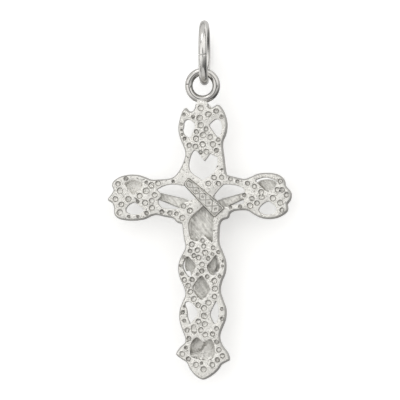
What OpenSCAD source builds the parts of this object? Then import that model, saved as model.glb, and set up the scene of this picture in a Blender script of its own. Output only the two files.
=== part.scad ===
// Crucifix pendant: a pierced cross with its hanging loop, a figure on its front and a jump ring.
// The front with the figure faces -Y. The back, with the slanted tablet, faces +Y.
// The origin is the inside top of the jump ring, where a chain bears.

/* [Jump ring] */
// Outer diameter of the jump ring
ring_od = 5.55; // [5.4:0.05:5.8]
// Thickness of its round wire
ring_wire = 0.75; // [0.7:0.01:0.8]

/* [Loop] */
// Outer diameter of the loop cast on top of the cross
loop_od = 3.0; // [2.9:0.05:3.1]
// Thickness of the loop's round wire
loop_wire = 0.66; // [0.6:0.01:0.7]
// Clearance between the loop and the wire that it hangs on
hang_gap = 0.05; // [0.04:0.01:0.1]
// Sideways offset of the loop from the ring's middle plane
loop_shift = 0.15; // [0:0.01:0.18]
// Width of the neck that joins the loop to the cross
neck_w = 0.92; // [0.8:0.02:1.1]
// Thickness of that neck, front to back
neck_t = 0.58; // [0.54:0.02:0.62]

/* [Cross] */
// Thickness of the cross, front to back
plate_t = 1.0; // [0.9:0.05:1.2]
// Part of that thickness taken by the wider front layer
front_t = 0.55; // [0.5:0.05:0.6]
// How far the front layer stands out past the back face's outline
draft = 0.14; // [0.1:0.01:0.14]
// Thickness of the web that closes one opening at the front
web_t = 0.22; // [0.15:0.01:0.3]

/* [Tablet] */
// Length of the slanted tablet
tablet_l = 4.2; // [4:0.05:4.3]
// Width of the tablet
tablet_w = 1.32; // [1.26:0.02:1.36]
// How far it stands above the back face
tablet_rise = 0.2; // [0.1:0.02:0.3]
// Its slope, down towards -X
tablet_slope = 43; // [42:1:44]

/* [Figure] */
// Gap between the flat back of the figure and the cross
seat_gap = 0.04; // [0.03:0.01:0.08]
// Facets around each rounded form of the figure
figure_fn = 18; // [14:2:20]

/* [Hidden] */

// The outlines are charted on a drawing grid seen from the back: columns to the right, rows down.
grid_step = 0.085;
grid_axis_col = 204;
grid_eye_row = 28.7;
function grid_x(col) = (grid_axis_col - col) * grid_step;
function grid_z(row) = (grid_eye_row - row) * grid_step;
function grid_xz(p) = [grid_x(p[0]), grid_z(p[1])];

// Spans of a charted outline are smooth curves, each drawn with this many straight pieces.
span_pieces = 3;
// Facets around rings and domes, and around their wire.
round_fn = 96;
wire_fn = 40;
// How far joined layers of the cross run into each other.
layer_lap = 0.03;

ring_mid_r = (ring_od - ring_wire) / 2;
ring_z = -(ring_od / 2 - ring_wire);
pivot_z = ring_z - ring_mid_r;
loop_mid_r = (loop_od - loop_wire) / 2;
loop_drop = loop_mid_r - loop_wire / 2 - ring_wire / 2 - hang_gap;
loop_z = pivot_z - sqrt(pow(loop_drop, 2) - pow(loop_shift, 2));
neck_foot_z = grid_z(109);

// Edge of the back face, from the neck down the left side and back up the right side.
// Columns: grid column, grid row, soft (1 runs smoothly through the point, 0 makes a corner).
edge_top_left = [
    [197.2, 104.5, 1], [196.0, 107.0, 1], [194.6, 110.2, 1], [191.6, 112.6, 1], [188.0, 112.0, 1],
    [185.3, 109.0, 0.4], [183.0, 112.0, 1], [181.2, 117.0, 1], [179.6, 123.5, 1], [179.2, 130.0, 1],
    [180.8, 137.5, 1], [184.4, 146.0, 1], [186.2, 152.5, 1], [185.4, 158.5, 1], [182.6, 166.0, 1],
    [179.0, 172.5, 1], [174.6, 177.3, 1], [169.0, 179.8, 1], [160.0, 180.6, 1], [151.0, 180.8, 1]
];
edge_left_arm = [
    [144.5, 178.4, 1], [138.0, 176.3, 1], [130.0, 175.8, 1], [121.5, 177.2, 1], [115.2, 180.6, 1],
    [112.4, 184.6, 1], [114.2, 189.6, 1], [111.8, 194.6, 1], [108.2, 199.3, 0.2], [112.6, 202.0, 1],
    [114.6, 207.5, 1], [114.8, 213.2, 1], [118.4, 217.0, 1], [126.0, 218.8, 1], [135.0, 219.0, 1],
    [143.8, 217.6, 1], [150.4, 214.6, 1], [156.5, 213.4, 1], [165.0, 215.3, 1], [173.2, 217.0, 1],
    [177.2, 221.0, 1], [182.4, 223.0, 1]
];
edge_shaft_left = [
    [183.6, 229.5, 1], [184.6, 238.0, 1], [186.3, 246.4, 1], [184.2, 252.4, 1], [180.6, 259.5, 1],
    [178.8, 268.0, 1], [180.5, 277.5, 1], [184.4, 286.0, 1], [186.2, 294.6, 1], [183.2, 302.4, 1],
    [180.4, 310.5, 1], [180.2, 320.0, 1], [183.2, 330.0, 1], [186.0, 338.0, 1], [185.6, 343.4, 1],
    [180.2, 348.6, 1], [176.8, 354.0, 0.2], [182.6, 358.4, 1], [187.4, 361.6, 1], [190.2, 367.6, 1],
    [195.4, 374.2, 1]
];
edge_shaft_right = [
    [202.4, 378.2, 0.8], [210.0, 374.8, 1], [216.6, 369.2, 1], [220.8, 363.2, 1], [228.2, 359.3, 0.2],
    [226.4, 353.4, 1], [221.6, 347.0, 1], [218.8, 340.5, 1], [218.5, 334.0, 1], [221.2, 326.5, 1],
    [224.2, 318.5, 1], [224.6, 309.5, 1], [221.6, 300.5, 1], [218.8, 291.0, 1], [220.4, 281.2, 1],
    [223.8, 272.5, 1], [224.4, 262.5, 1], [221.2, 252.6, 1], [217.8, 243.6, 1], [217.6, 233.0, 1],
    [218.6, 223.6, 1]
];
edge_right_arm = [
    [221.8, 218.8, 1], [227.0, 217.0, 1], [228.6, 212.8, 1], [233.0, 209.8, 1], [240.5, 208.7, 1],
    [248.0, 209.3, 1], [254.6, 213.4, 1], [262.0, 216.8, 1], [270.5, 217.5, 1], [279.0, 215.6, 1],
    [286.2, 210.4, 1], [286.0, 204.0, 1], [289.4, 199.0, 1], [289.6, 192.8, 1], [284.6, 186.8, 1],
    [283.0, 180.6, 1], [277.4, 175.8, 1], [268.0, 174.2, 1], [258.0, 175.0, 1], [250.0, 178.4, 1],
    [243.6, 180.2, 1], [234.0, 178.2, 1]
];
edge_top_right = [
    [225.6, 175.6, 0.8], [223.8, 168.0, 1], [222.6, 158.0, 1], [221.2, 147.5, 1], [221.6, 140.5, 1],
    [224.4, 133.5, 1], [225.6, 125.0, 1], [224.0, 116.0, 1], [220.6, 109.0, 1], [217.4, 105.8, 0.5],
    [213.6, 107.8, 1], [210.2, 109.2, 1], [207.2, 106.6, 1], [206.6, 104.5, 1]
];
edge = concat(edge_top_left, edge_left_arm, edge_shaft_left, edge_shaft_right, edge_right_arm,
              edge_top_right);

// Openings, in the same columns, each listed from its top.
kite_left = [
    [187.8, 119.2, 1], [184.0, 121.6, 1], [183.4, 126.6, 1], [182.5, 130.4, 1], [184.6, 135.2, 1],
    [189.4, 138.2, 0.2], [192.4, 132.6, 1], [194.9, 125.8, 0.7], [192.0, 121.0, 1]
];
kite_right = [
    [216.4, 118.7, 1], [212.0, 121.4, 1], [208.9, 125.3, 0.4], [212.6, 131.2, 1], [217.6, 137.6, 0.4],
    [220.9, 133.4, 1], [221.8, 127.4, 1], [220.2, 121.0, 1]
];
heart = [
    [194.4, 150.0, 1], [191.4, 153.4, 1], [189.4, 159.2, 1], [188.4, 165.4, 1], [190.0, 171.2, 1],
    [195.6, 176.2, 1], [202.2, 180.0, 0.3], [208.4, 176.8, 1], [214.4, 171.4, 1], [217.0, 164.6, 1],
    [217.4, 158.0, 1], [214.0, 155.2, 1], [209.7, 153.4, 0.4], [207.2, 157.0, 1],
    [204.3, 160.6, 0.5], [201.2, 157.4, 1], [198.2, 152.4, 0.6]
];
arm_left_upper = [
    [134.0, 180.0, 1], [124.4, 183.3, 0.5], [128.4, 189.4, 1], [132.6, 194.2, 1], [137.0, 191.6, 1],
    [142.7, 184.8, 0.6]
];
arm_left_lower = [
    [133.9, 202.0, 0.6], [127.6, 205.4, 1], [125.4, 211.0, 1], [130.6, 214.2, 1], [138.4, 213.8, 1],
    [143.7, 210.4, 0.6], [138.8, 205.6, 1]
];
side_left = [
    [173.0, 184.0, 1], [164.0, 185.4, 1], [156.3, 189.5, 0.3], [160.7, 195.6, 1], [157.5, 201.0, 1],
    [160.4, 207.0, 1], [169.0, 208.9, 1], [178.6, 208.6, 0.8], [182.0, 203.2, 1], [196.5, 198.4, 0],
    [186.5, 186.0, 0]
];
side_right = [
    [226.0, 184.0, 1], [221.2, 186.2, 1], [212.6, 196.4, 0], [223.2, 207.4, 0], [234.0, 204.8, 1],
    [242.6, 204.0, 1], [244.2, 199.6, 1], [240.6, 196.6, 0.5], [244.9, 190.4, 1], [238.0, 185.6, 1]
];
arm_right_upper = [
    [266.0, 177.0, 1], [255.4, 180.2, 0.5], [260.8, 186.4, 1], [267.4, 191.6, 1], [273.4, 188.8, 1],
    [276.9, 181.8, 0.8]
];
arm_right_lower = [
    [267.8, 201.3, 0.8], [261.2, 205.2, 1], [258.6, 210.8, 1], [264.0, 214.2, 1], [272.6, 213.9, 1],
    [276.2, 209.2, 1], [273.0, 203.8, 1]
];
torso_gap = [
    [203.4, 205.6, 0], [190.8, 217.4, 1], [188.4, 225.0, 1], [189.0, 233.0, 1], [191.0, 239.0, 1],
    [196.4, 241.3, 1], [200.0, 239.0, 1], [203.5, 234.8, 0.5], [207.6, 238.8, 1], [212.4, 242.0, 0.5],
    [213.0, 231.0, 1], [213.8, 215.0, 0]
];
diamond_left = [
    [187.4, 256.4, 1], [183.6, 261.0, 1], [182.7, 267.0, 1], [185.6, 273.4, 1], [189.6, 277.2, 0.4],
    [193.4, 271.4, 1], [196.0, 265.4, 0.6], [192.2, 260.6, 1]
];
diamond_right = [
    [216.2, 254.8, 0.8], [211.4, 260.6, 1], [206.8, 266.0, 0.7], [209.2, 272.8, 1], [213.4, 275.0, 1],
    [218.4, 270.8, 1], [219.7, 264.0, 1]
];
diamond_centre = [
    [201.3, 275.6, 0.8], [196.2, 281.0, 1], [192.5, 287.8, 0.8], [196.0, 295.0, 1],
    [201.6, 299.8, 0.6], [206.8, 295.2, 1], [209.7, 288.6, 0.8], [206.4, 281.4, 1]
];
lower_left = [
    [188.2, 301.4, 1], [184.6, 304.0, 1], [186.8, 310.6, 1], [187.4, 317.6, 1], [190.2, 323.6, 0.4],
    [194.0, 319.4, 1], [197.3, 313.8, 0.7], [194.8, 306.4, 1]
];
lower_right = [
    [216.4, 301.0, 0.6], [212.6, 307.0, 1], [209.9, 315.0, 1], [214.2, 324.0, 0.5], [218.0, 319.0, 1],
    [218.6, 309.0, 1]
];
heart_low = [
    [196.6, 337.4, 1], [192.2, 341.0, 1], [190.1, 348.6, 1], [191.0, 356.2, 1], [197.4, 358.9, 1],
    [204.4, 360.2, 1], [211.6, 359.2, 1], [214.8, 352.6, 1], [213.6, 343.4, 1], [210.4, 339.2, 1],
    [203.9, 342.3, 0.5], [200.0, 339.4, 1]
];
openings = [kite_left, kite_right, heart, arm_left_upper, arm_left_lower, side_left, side_right,
            arm_right_upper, arm_right_lower, torso_gap, diamond_left, diamond_right,
            diamond_centre, lower_left, lower_right, heart_low];

// A smooth closed curve through the rows of a table, with corners where a row isn't soft.
function wrap(i, n) = (i + n) % n;
function tangent(p, i) = let (n = len(p))
    p[i][2] * (grid_xz(p[wrap(i + 1, n)]) - grid_xz(p[wrap(i - 1, n)])) / 2;
function on_span(a, b, ta, tb, t) = (2 * pow(t, 3) - 3 * pow(t, 2) + 1) * a
    + (pow(t, 3) - 2 * pow(t, 2) + t) * ta
    + (3 * pow(t, 2) - 2 * pow(t, 3)) * b
    + (pow(t, 3) - pow(t, 2)) * tb;
function curve(p) = [for (i = [0 : len(p) - 1], k = [0 : span_pieces - 1])
    let (j = wrap(i + 1, len(p)))
    on_span(grid_xz(p[i]), grid_xz(p[j]), tangent(p, i), tangent(p, j), k / span_pieces)];

// A closed curve moved outwards by a distance, point by point along its own normals.
function normal_at(c, i) = let (n = len(c), d = c[wrap(i + 1, n)] - c[wrap(i - 1, n)])
    [-d[1], d[0]] / norm(d);
function grown(c, by) = [for (i = [0 : len(c) - 1]) c[i] + by * normal_at(c, i)];

// The front boss that backs the low heart, and its dome.
boss_col = 202.5;
boss_row = 349.5;
boss_r = 1.28;
boss_rise = 0.32;
dome_r = (pow(boss_r, 2) + pow(boss_rise, 2)) / (2 * boss_rise);

// The figure's joints. Columns: grid column, grid row, forward of the cross in mm, radius in mm.
crown = [207.8, 187.0, 0.78, 0.68];
chin = [205.2, 195.8, 0.88, 0.46];
throat = [204.4, 202.0, 0.50, 0.36];
shoulder_left = [189.0, 206.6, 0.40, 0.50];
shoulder_right = [217.0, 205.8, 0.40, 0.50];
elbow_left = [163.0, 197.4, 0.30, 0.37];
elbow_right = [238.5, 197.4, 0.28, 0.35];
wrist_left = [141.5, 190.8, 0.27, 0.25];
wrist_right = [259.5, 190.8, 0.27, 0.25];
hand_left = [133.2, 187.8, 0.24, 0.42];
hand_right = [267.4, 187.6, 0.24, 0.42];
chest_left = [194.4, 213.0, 0.46, 0.58];
chest_right = [207.8, 213.0, 0.46, 0.58];
waist_left = [194.0, 232.0, 0.36, 0.48];
waist_right = [205.0, 232.0, 0.36, 0.48];
hip_left = [192.8, 250.0, 0.48, 0.66];
hip_right = [208.4, 250.0, 0.48, 0.66];
hem_left = [191.6, 267.0, 0.54, 0.66];
hem_right = [209.8, 267.0, 0.54, 0.66];
knee_left = [197.3, 290.5, 0.88, 0.48];
knee_right = [206.8, 289.5, 0.90, 0.48];
ankle_left = [202.8, 323.0, 0.38, 0.30];
ankle_right = [205.0, 321.5, 0.54, 0.30];
toes = [203.6, 336.5, 0.52, 0.34];

// The block that trims the figure's back flat: half its side, and the row of its middle.
trim_half = 12;
trim_mid_row = 250;

silver = [0.86, 0.85, 0.82];
bright_silver = [0.92, 0.92, 0.91];
dark_silver = [0.62, 0.61, 0.59];

// A round wire bent into a closed ring, in the XY plane.
module wire_ring(mid_r, wire) {
    rotate_extrude($fn = round_fn) translate([mid_r, 0]) circle(d = wire, $fn = wire_fn);
}

module jump_ring() {
    color(bright_silver) translate([0, 0, ring_z]) rotate([0, 90, 0]) wire_ring(ring_mid_r, ring_wire);
}

// An upright slab with its back at y_back, drawn from an outline that stands in the XZ plane.
module slab(y_back, thickness, outline) {
    translate([0, y_back, 0]) rotate([90, 0, 0]) linear_extrude(height = thickness) polygon(outline);
}

// The cross with its openings cut straight through, wider at the front than at the back.
module pierced_plate() {
    difference() {
        union() {
            slab(plate_t / 2, plate_t - front_t + layer_lap, curve(edge));
            slab(front_t - plate_t / 2, front_t, grown(curve(edge), draft));
        }
        for (o = openings) slab(plate_t / 2 + layer_lap, plate_t + 2 * layer_lap, curve(o));
    }
}

module web() {
    slab(web_t - plate_t / 2, web_t, grown(curve(arm_left_upper), layer_lap));
}

module boss() {
    translate([grid_x(boss_col), -plate_t / 2, grid_z(boss_row)]) rotate([90, 0, 0]) intersection() {
        translate([0, 0, boss_rise - dome_r]) sphere(r = dome_r, $fn = round_fn);
        translate([0, 0, -boss_rise]) cylinder(r = boss_r, h = 2 * boss_rise, $fn = round_fn);
    }
}

module tablet() {
    mid_col = 202.3;
    mid_row = 196.5;
    depth = plate_t / 2 + tablet_rise;
    translate([grid_x(mid_col), depth / 2, grid_z(mid_row)]) rotate([0, -tablet_slope, 0])
        cube([tablet_l, depth, tablet_w], center = true);
}

module hanging_loop() {
    translate([loop_shift, 0, loop_z]) rotate([90, 0, 0]) wire_ring(loop_mid_r, loop_wire);
    neck_top_z = loop_z - loop_mid_r;
    translate([loop_shift, 0, (neck_top_z + neck_foot_z) / 2])
        cube([neck_w, neck_t, neck_top_z - neck_foot_z], center = true);
}

module cross() {
    color(silver) union() {
        pierced_plate();
        web();
        boss();
        tablet();
        hanging_loop();
    }
}

// A rounded form that runs through the joints given.
module flesh(joints) {
    hull() for (j = joints)
        translate([grid_x(j[0]), -plate_t / 2 - j[2], grid_z(j[1])]) sphere(r = j[3], $fn = figure_fn);
}

module corpus() {
    back_y = -plate_t / 2 - seat_gap;
    forms = [
        [crown, chin], [chin, throat], [throat, shoulder_left, shoulder_right, chest_left, chest_right],
        [shoulder_left, elbow_left], [elbow_left, wrist_left], [wrist_left, hand_left],
        [shoulder_right, elbow_right], [elbow_right, wrist_right], [wrist_right, hand_right],
        [chest_left, chest_right, waist_left, waist_right],
        [waist_left, waist_right, hip_left, hip_right],
        [hip_left, hip_right, hem_left, hem_right], [hem_left, knee_left], [hem_right, knee_right],
        [knee_left, ankle_right], [knee_right, ankle_left], [ankle_left, ankle_right, toes]
    ];
    color(dark_silver) difference() {
        union() for (f = forms) flesh(f);
        translate([-trim_half, back_y, grid_z(trim_mid_row) - trim_half])
            cube([2 * trim_half, trim_half, 2 * trim_half]);
    }
}

jump_ring();
cross();
corpus();
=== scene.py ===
import math
import random

import bmesh
import bpy
from mathutils import Matrix, Vector, noise
from mathutils.geometry import interpolate_bezier


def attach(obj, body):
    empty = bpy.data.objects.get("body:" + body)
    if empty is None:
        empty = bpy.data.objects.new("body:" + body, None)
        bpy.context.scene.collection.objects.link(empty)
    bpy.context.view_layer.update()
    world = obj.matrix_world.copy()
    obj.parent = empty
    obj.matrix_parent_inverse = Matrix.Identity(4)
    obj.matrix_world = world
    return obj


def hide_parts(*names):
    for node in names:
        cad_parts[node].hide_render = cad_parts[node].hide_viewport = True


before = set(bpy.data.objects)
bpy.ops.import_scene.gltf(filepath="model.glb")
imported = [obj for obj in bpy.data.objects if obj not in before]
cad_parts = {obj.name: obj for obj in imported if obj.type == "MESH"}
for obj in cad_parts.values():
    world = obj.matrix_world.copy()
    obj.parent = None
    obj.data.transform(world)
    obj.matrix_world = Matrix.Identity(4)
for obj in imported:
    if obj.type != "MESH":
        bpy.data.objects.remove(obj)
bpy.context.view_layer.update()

# everything on the cross is charted on a drawing grid seen from the back: columns right, rows down
grid = {"step": 0.085e-3, "axisCol": 204.0, "eyeRow": 28.7}
mm = 0.001
faceHeight = 0.5  # half the cross's thickness in mm: its back face is that far back, its front face that far ahead


def gridX(col):
    return (grid["axisCol"] - col) * grid["step"]


def gridZ(row):
    return (grid["eyeRow"] - row) * grid["step"]


def spot(col, row, back=0.0):  # a charted point, with its height towards the back in mm
    return Vector((gridX(col), back * mm, gridZ(row)))


def flatSpot(col, row):  # the same point on the drawing, as (x, z)
    return Vector((gridX(col), gridZ(row)))


# shader helpers
class Wire:  # wraps an output socket so that values can be written as sums and products
    def __init__(self, look, socket):
        self.look = look
        self.socket = socket

    def calc(self, operation, *values, clamp=False):
        node = self.look.add("ShaderNodeMath", {"operation": operation, "use_clamp": clamp}, dict(enumerate(values)))
        return Wire(self.look, node.outputs[0])

    def __add__(self, other):
        return self.calc("ADD", self, other)

    def __radd__(self, other):
        return self.calc("ADD", other, self)

    def __sub__(self, other):
        return self.calc("SUBTRACT", self, other)

    def __rsub__(self, other):
        return self.calc("SUBTRACT", other, self)

    def __mul__(self, other):
        return self.calc("MULTIPLY", self, other)

    def __rmul__(self, other):
        return self.calc("MULTIPLY", other, self)

    def clamped(self):
        return self.calc("ADD", self, 0.0, clamp=True)

    def between(self, low, high):  # 0 at low, 1 at high, smooth on the way
        node = self.look.add("ShaderNodeMapRange", {"interpolation_type": "SMOOTHSTEP"},
                             {"Value": self, "From Min": low, "From Max": high})
        return Wire(self.look, node.outputs["Result"])


class Look:  # a material and the one method that adds its nodes
    def __init__(self, name, fixed):
        self.material = bpy.data.materials.new(name)
        self.material.use_nodes = True
        self.tree = self.material.node_tree
        self.shader = self.tree.nodes["Principled BSDF"]
        for socket, value in fixed.items():
            self.shader.inputs[socket].default_value = value
        place = self.add("ShaderNodeTexCoord")
        self.place = Wire(self, place.outputs["Object"])

    def add(self, kind, settings=None, sockets=None):
        node = self.tree.nodes.new(kind)
        for key, value in (settings or {}).items():
            setattr(node, key, value)
        for key, value in (sockets or {}).items():
            if isinstance(value, Wire):
                self.tree.links.new(value.socket, node.inputs[key])
            else:
                node.inputs[key].default_value = value
        return node

    def noise(self, scale, detail=3.0, rough=0.55, stretch=None):
        place = self.place
        if stretch:
            turned = self.add("ShaderNodeMapping", {"vector_type": "TEXTURE"}, {"Vector": self.place, **stretch})
            place = Wire(self, turned.outputs[0])
        node = self.add("ShaderNodeTexNoise", None,
                        {"Vector": place, "Scale": scale, "Detail": detail, "Roughness": rough})
        return Wire(self, node.outputs["Fac"])

    def axis(self, name):  # one Object coordinate, in metres
        return Wire(self, self.add("ShaderNodeSeparateXYZ", None, {0: self.place}).outputs[name])

    def rise(self, low, high):  # 0 at one height towards the back and 1 at the other, both in mm
        return self.axis("Y").between(low * mm, high * mm)

    def away(self, place):  # distance from a point along the cross's face, in metres
        flat = self.add("ShaderNodeVectorMath", {"operation": "MULTIPLY"}, {0: self.place, 1: (1, 0, 1)})
        node = self.add("ShaderNodeVectorMath", {"operation": "DISTANCE"},
                        {0: Wire(self, flat.outputs["Vector"]), 1: (place.x, 0, place.z)})
        return Wire(self, node.outputs["Value"])

    def mix(self, factor, first, second):
        node = self.add("ShaderNodeMix", {"data_type": "RGBA"}, {0: factor, 6: first, 7: second})
        return Wire(self, node.outputs[2])

    def feed(self, socket, wire):
        self.tree.links.new(wire.socket, self.shader.inputs[socket])

    def bump(self, height, distance, strength=1.0):
        node = self.add("ShaderNodeBump", None, {"Height": height, "Distance": distance, "Strength": strength})
        self.feed("Normal", Wire(self, node.outputs["Normal"]))


# mesh helpers
def meshFrom(bm, name):
    mesh = bpy.data.meshes.new(name)
    bm.to_mesh(mesh)
    bm.free()
    return mesh


def smallMesh(bm, name):
    bmesh.ops.recalc_face_normals(bm, faces=bm.faces)
    return meshFrom(bm, name)


def looseObject(bm, name):
    thing = bpy.data.objects.new(name, meshFrom(bm, name))
    bpy.context.scene.collection.objects.link(thing)
    return thing


def sweep(mesh, crumb=6):  # drops the specks of a few faces that a boolean or a remesh can leave
    bm = bmesh.new()
    bm.from_mesh(mesh)
    seen, crumbs = set(), []
    for seed in bm.faces:
        if seed in seen:
            continue
        seen.add(seed)
        island = [seed]
        for face in island:  # grows while it is walked
            for edge in face.edges:
                fresh = [other for other in edge.link_faces if other not in seen]
                seen.update(fresh)
                island += fresh
        if len(island) <= crumb:
            crumbs += island
    bmesh.ops.delete(bm, geom=crumbs, context="FACES")
    bm.to_mesh(mesh)
    bm.free()


def dress(piece, look, body, nodes, sharp=35.0):
    sweep(piece.data)
    piece.data.materials.clear()
    piece.data.materials.append(look.material)
    piece.data.shade_smooth()
    piece.data.set_sharp_from_angle(angle=math.radians(sharp))
    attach(piece, body)
    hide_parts(*nodes)
    triangles = sum(len(face.vertices) - 2 for face in piece.data.polygons)
    print(piece.name, triangles, "triangles")


def finishPiece(bm, name, look, body, nodes, sharp=35.0):
    bmesh.ops.recalc_face_normals(bm, faces=bm.faces)
    dress(looseObject(bm, name), look, body, nodes, sharp)


def bakeModifiers(thing):
    bpy.context.view_layer.update()
    shaped = thing.evaluated_get(bpy.context.evaluated_depsgraph_get())
    mesh = bpy.data.meshes.new_from_object(shaped)
    thing.modifiers.clear()
    thing.data = mesh


def drop(thing):
    bpy.data.objects.remove(thing)


# outlines of the cross
# column and row, then the softness of a point that the line doesn't run through smoothly: 0 is a sharp corner
crossEdge = [
    (197.2, 104.5), (196.0, 107.0), (194.6, 110.2), (191.6, 112.6), (188.0, 112.0), (185.3, 109.0, 0.4),
    (183.0, 112.0), (181.2, 117.0), (179.6, 123.5), (179.2, 130.0), (180.8, 137.5), (184.4, 146.0), (186.2, 152.5),
    (185.4, 158.5), (182.6, 166.0), (179.0, 172.5), (174.6, 177.3), (169.0, 179.8), (160.0, 180.6), (151.0, 180.8),
    (144.5, 178.4), (138.0, 176.3), (130.0, 175.8), (121.5, 177.2), (115.2, 180.6), (112.4, 184.6), (114.2, 189.6),
    (111.8, 194.6), (108.2, 199.3, 0.2), (112.6, 202.0), (114.6, 207.5), (114.8, 213.2), (118.4, 217.0),
    (126.0, 218.8), (135.0, 219.0), (143.8, 217.6), (150.4, 214.6), (156.5, 213.4), (165.0, 215.3), (173.2, 217.0),
    (177.2, 221.0), (182.4, 223.0), (183.6, 229.5), (184.6, 238.0), (186.3, 246.4), (184.2, 252.4), (180.6, 259.5),
    (178.8, 268.0), (180.5, 277.5), (184.4, 286.0), (186.2, 294.6), (183.2, 302.4), (180.4, 310.5), (180.2, 320.0),
    (183.2, 330.0), (186.0, 338.0), (185.6, 343.4), (180.2, 348.6), (176.8, 354.0, 0.2), (182.6, 358.4),
    (187.4, 361.6), (190.2, 367.6), (195.4, 374.2), (202.4, 378.2, 0.8), (210.0, 374.8), (216.6, 369.2),
    (220.8, 363.2), (228.2, 359.3, 0.2), (226.4, 353.4), (221.6, 347.0), (218.8, 340.5), (218.5, 334.0),
    (221.2, 326.5), (224.2, 318.5), (224.6, 309.5), (221.6, 300.5), (218.8, 291.0), (220.4, 281.2), (223.8, 272.5),
    (224.4, 262.5), (221.2, 252.6), (217.8, 243.6), (217.6, 233.0), (218.6, 223.6), (221.8, 218.8), (227.0, 217.0),
    (228.6, 212.8), (233.0, 209.8), (240.5, 208.7), (248.0, 209.3), (254.6, 213.4), (262.0, 216.8), (270.5, 217.5),
    (279.0, 215.6), (286.2, 210.4), (286.0, 204.0), (289.4, 199.0), (289.6, 192.8), (284.6, 186.8), (283.0, 180.6),
    (277.4, 175.8), (268.0, 174.2), (258.0, 175.0), (250.0, 178.4), (243.6, 180.2), (234.0, 178.2),
    (225.6, 175.6, 0.8), (223.8, 168.0), (222.6, 158.0), (221.2, 147.5), (221.6, 140.5), (224.4, 133.5),
    (225.6, 125.0), (224.0, 116.0), (220.6, 109.0), (217.4, 105.8, 0.5), (213.6, 107.8), (210.2, 109.2),
    (207.2, 106.6), (206.6, 104.5),
]
openings = {
    "kiteLeft": [
        (187.8, 119.2), (184.0, 121.6), (183.4, 126.6), (182.5, 130.4), (184.6, 135.2), (189.4, 138.2, 0.2),
        (192.4, 132.6), (194.9, 125.8, 0.7), (192.0, 121.0)],
    "kiteRight": [
        (216.4, 118.7), (212.0, 121.4), (208.9, 125.3, 0.4), (212.6, 131.2), (217.6, 137.6, 0.4), (220.9, 133.4),
        (221.8, 127.4), (220.2, 121.0)],
    "heart": [
        (194.4, 150.0), (191.4, 153.4), (189.4, 159.2), (188.4, 165.4), (190.0, 171.2), (195.6, 176.2),
        (202.2, 180.0, 0.3), (208.4, 176.8), (214.4, 171.4), (217.0, 164.6), (217.4, 158.0), (214.0, 155.2),
        (209.7, 153.4, 0.4), (207.2, 157.0), (204.3, 160.6, 0.5), (201.2, 157.4), (198.2, 152.4, 0.6)],
    "armLeftLower": [
        (133.9, 202.0, 0.6), (127.6, 205.4), (125.4, 211.0), (130.6, 214.2), (138.4, 213.8), (143.7, 210.4, 0.6),
        (138.8, 205.6)],
    "sideLeft": [
        (173.0, 184.0), (164.0, 185.4), (156.3, 189.5, 0.3), (160.7, 195.6), (157.5, 201.0), (160.4, 207.0),
        (169.0, 208.9), (178.6, 208.6, 0.8), (182.0, 203.2), (196.5, 198.4, 0), (186.5, 186.0, 0)],
    "sideRight": [
        (226.0, 184.0), (221.2, 186.2), (212.6, 196.4, 0), (223.2, 207.4, 0), (234.0, 204.8), (242.6, 204.0),
        (244.2, 199.6), (240.6, 196.6, 0.5), (244.9, 190.4), (238.0, 185.6)],
    "armRightUpper": [
        (266.0, 177.0), (255.4, 180.2, 0.5), (260.8, 186.4), (267.4, 191.6), (273.4, 188.8), (276.9, 181.8, 0.8)],
    "armRightLower": [
        (267.8, 201.3, 0.8), (261.2, 205.2), (258.6, 210.8), (264.0, 214.2), (272.6, 213.9), (276.2, 209.2),
        (273.0, 203.8)],
    "torsoGap": [
        (203.4, 205.6, 0), (190.8, 217.4), (188.4, 225.0), (189.0, 233.0), (191.0, 239.0), (196.4, 241.3),
        (200.0, 239.0), (203.5, 234.8, 0.5), (207.6, 238.8), (212.4, 242.0, 0.5), (213.0, 231.0), (213.8, 215.0, 0)],
    "diamondLeft": [
        (187.4, 256.4), (183.6, 261.0), (182.7, 267.0), (185.6, 273.4), (189.6, 277.2, 0.4), (193.4, 271.4),
        (196.0, 265.4, 0.6), (192.2, 260.6)],
    "diamondRight": [
        (216.2, 254.8, 0.8), (211.4, 260.6), (206.8, 266.0, 0.7), (209.2, 272.8), (213.4, 275.0), (218.4, 270.8),
        (219.7, 264.0)],
    "diamondCentre": [
        (201.3, 275.6, 0.8), (196.2, 281.0), (192.5, 287.8, 0.8), (196.0, 295.0), (201.6, 299.8, 0.6),
        (206.8, 295.2), (209.7, 288.6, 0.8), (206.4, 281.4)],
    "lowerLeft": [
        (188.2, 301.4), (184.6, 304.0), (186.8, 310.6), (187.4, 317.6), (190.2, 323.6, 0.4), (194.0, 319.4),
        (197.3, 313.8, 0.7), (194.8, 306.4)],
    "lowerRight": [
        (216.4, 301.0, 0.6), (212.6, 307.0), (209.9, 315.0), (214.2, 324.0, 0.5), (218.0, 319.0), (218.6, 309.0)],
}
pockets = {  # these have a floor: the low heart over the front boss, one closed by a web, and a small hollow
    "heartLow": [
        (196.6, 337.4), (192.2, 341.0), (190.1, 348.6), (191.0, 356.2), (197.4, 358.9), (204.4, 360.2),
        (211.6, 359.2), (214.8, 352.6), (213.6, 343.4), (210.4, 339.2), (203.9, 342.3, 0.5), (200.0, 339.4)],
    "armLeftUpper": [
        (134.0, 180.0), (124.4, 183.3, 0.5), (128.4, 189.4), (132.6, 194.2), (137.0, 191.6), (142.7, 184.8, 0.6)],
    "teardrop": [
        (193.6, 324.4), (191.2, 327.0), (191.4, 331.4), (194.2, 334.5), (196.6, 332.4, 0.5), (196.4, 328.4)],
}
spanPieces = 4  # lengths from each charted point to the next


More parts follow.
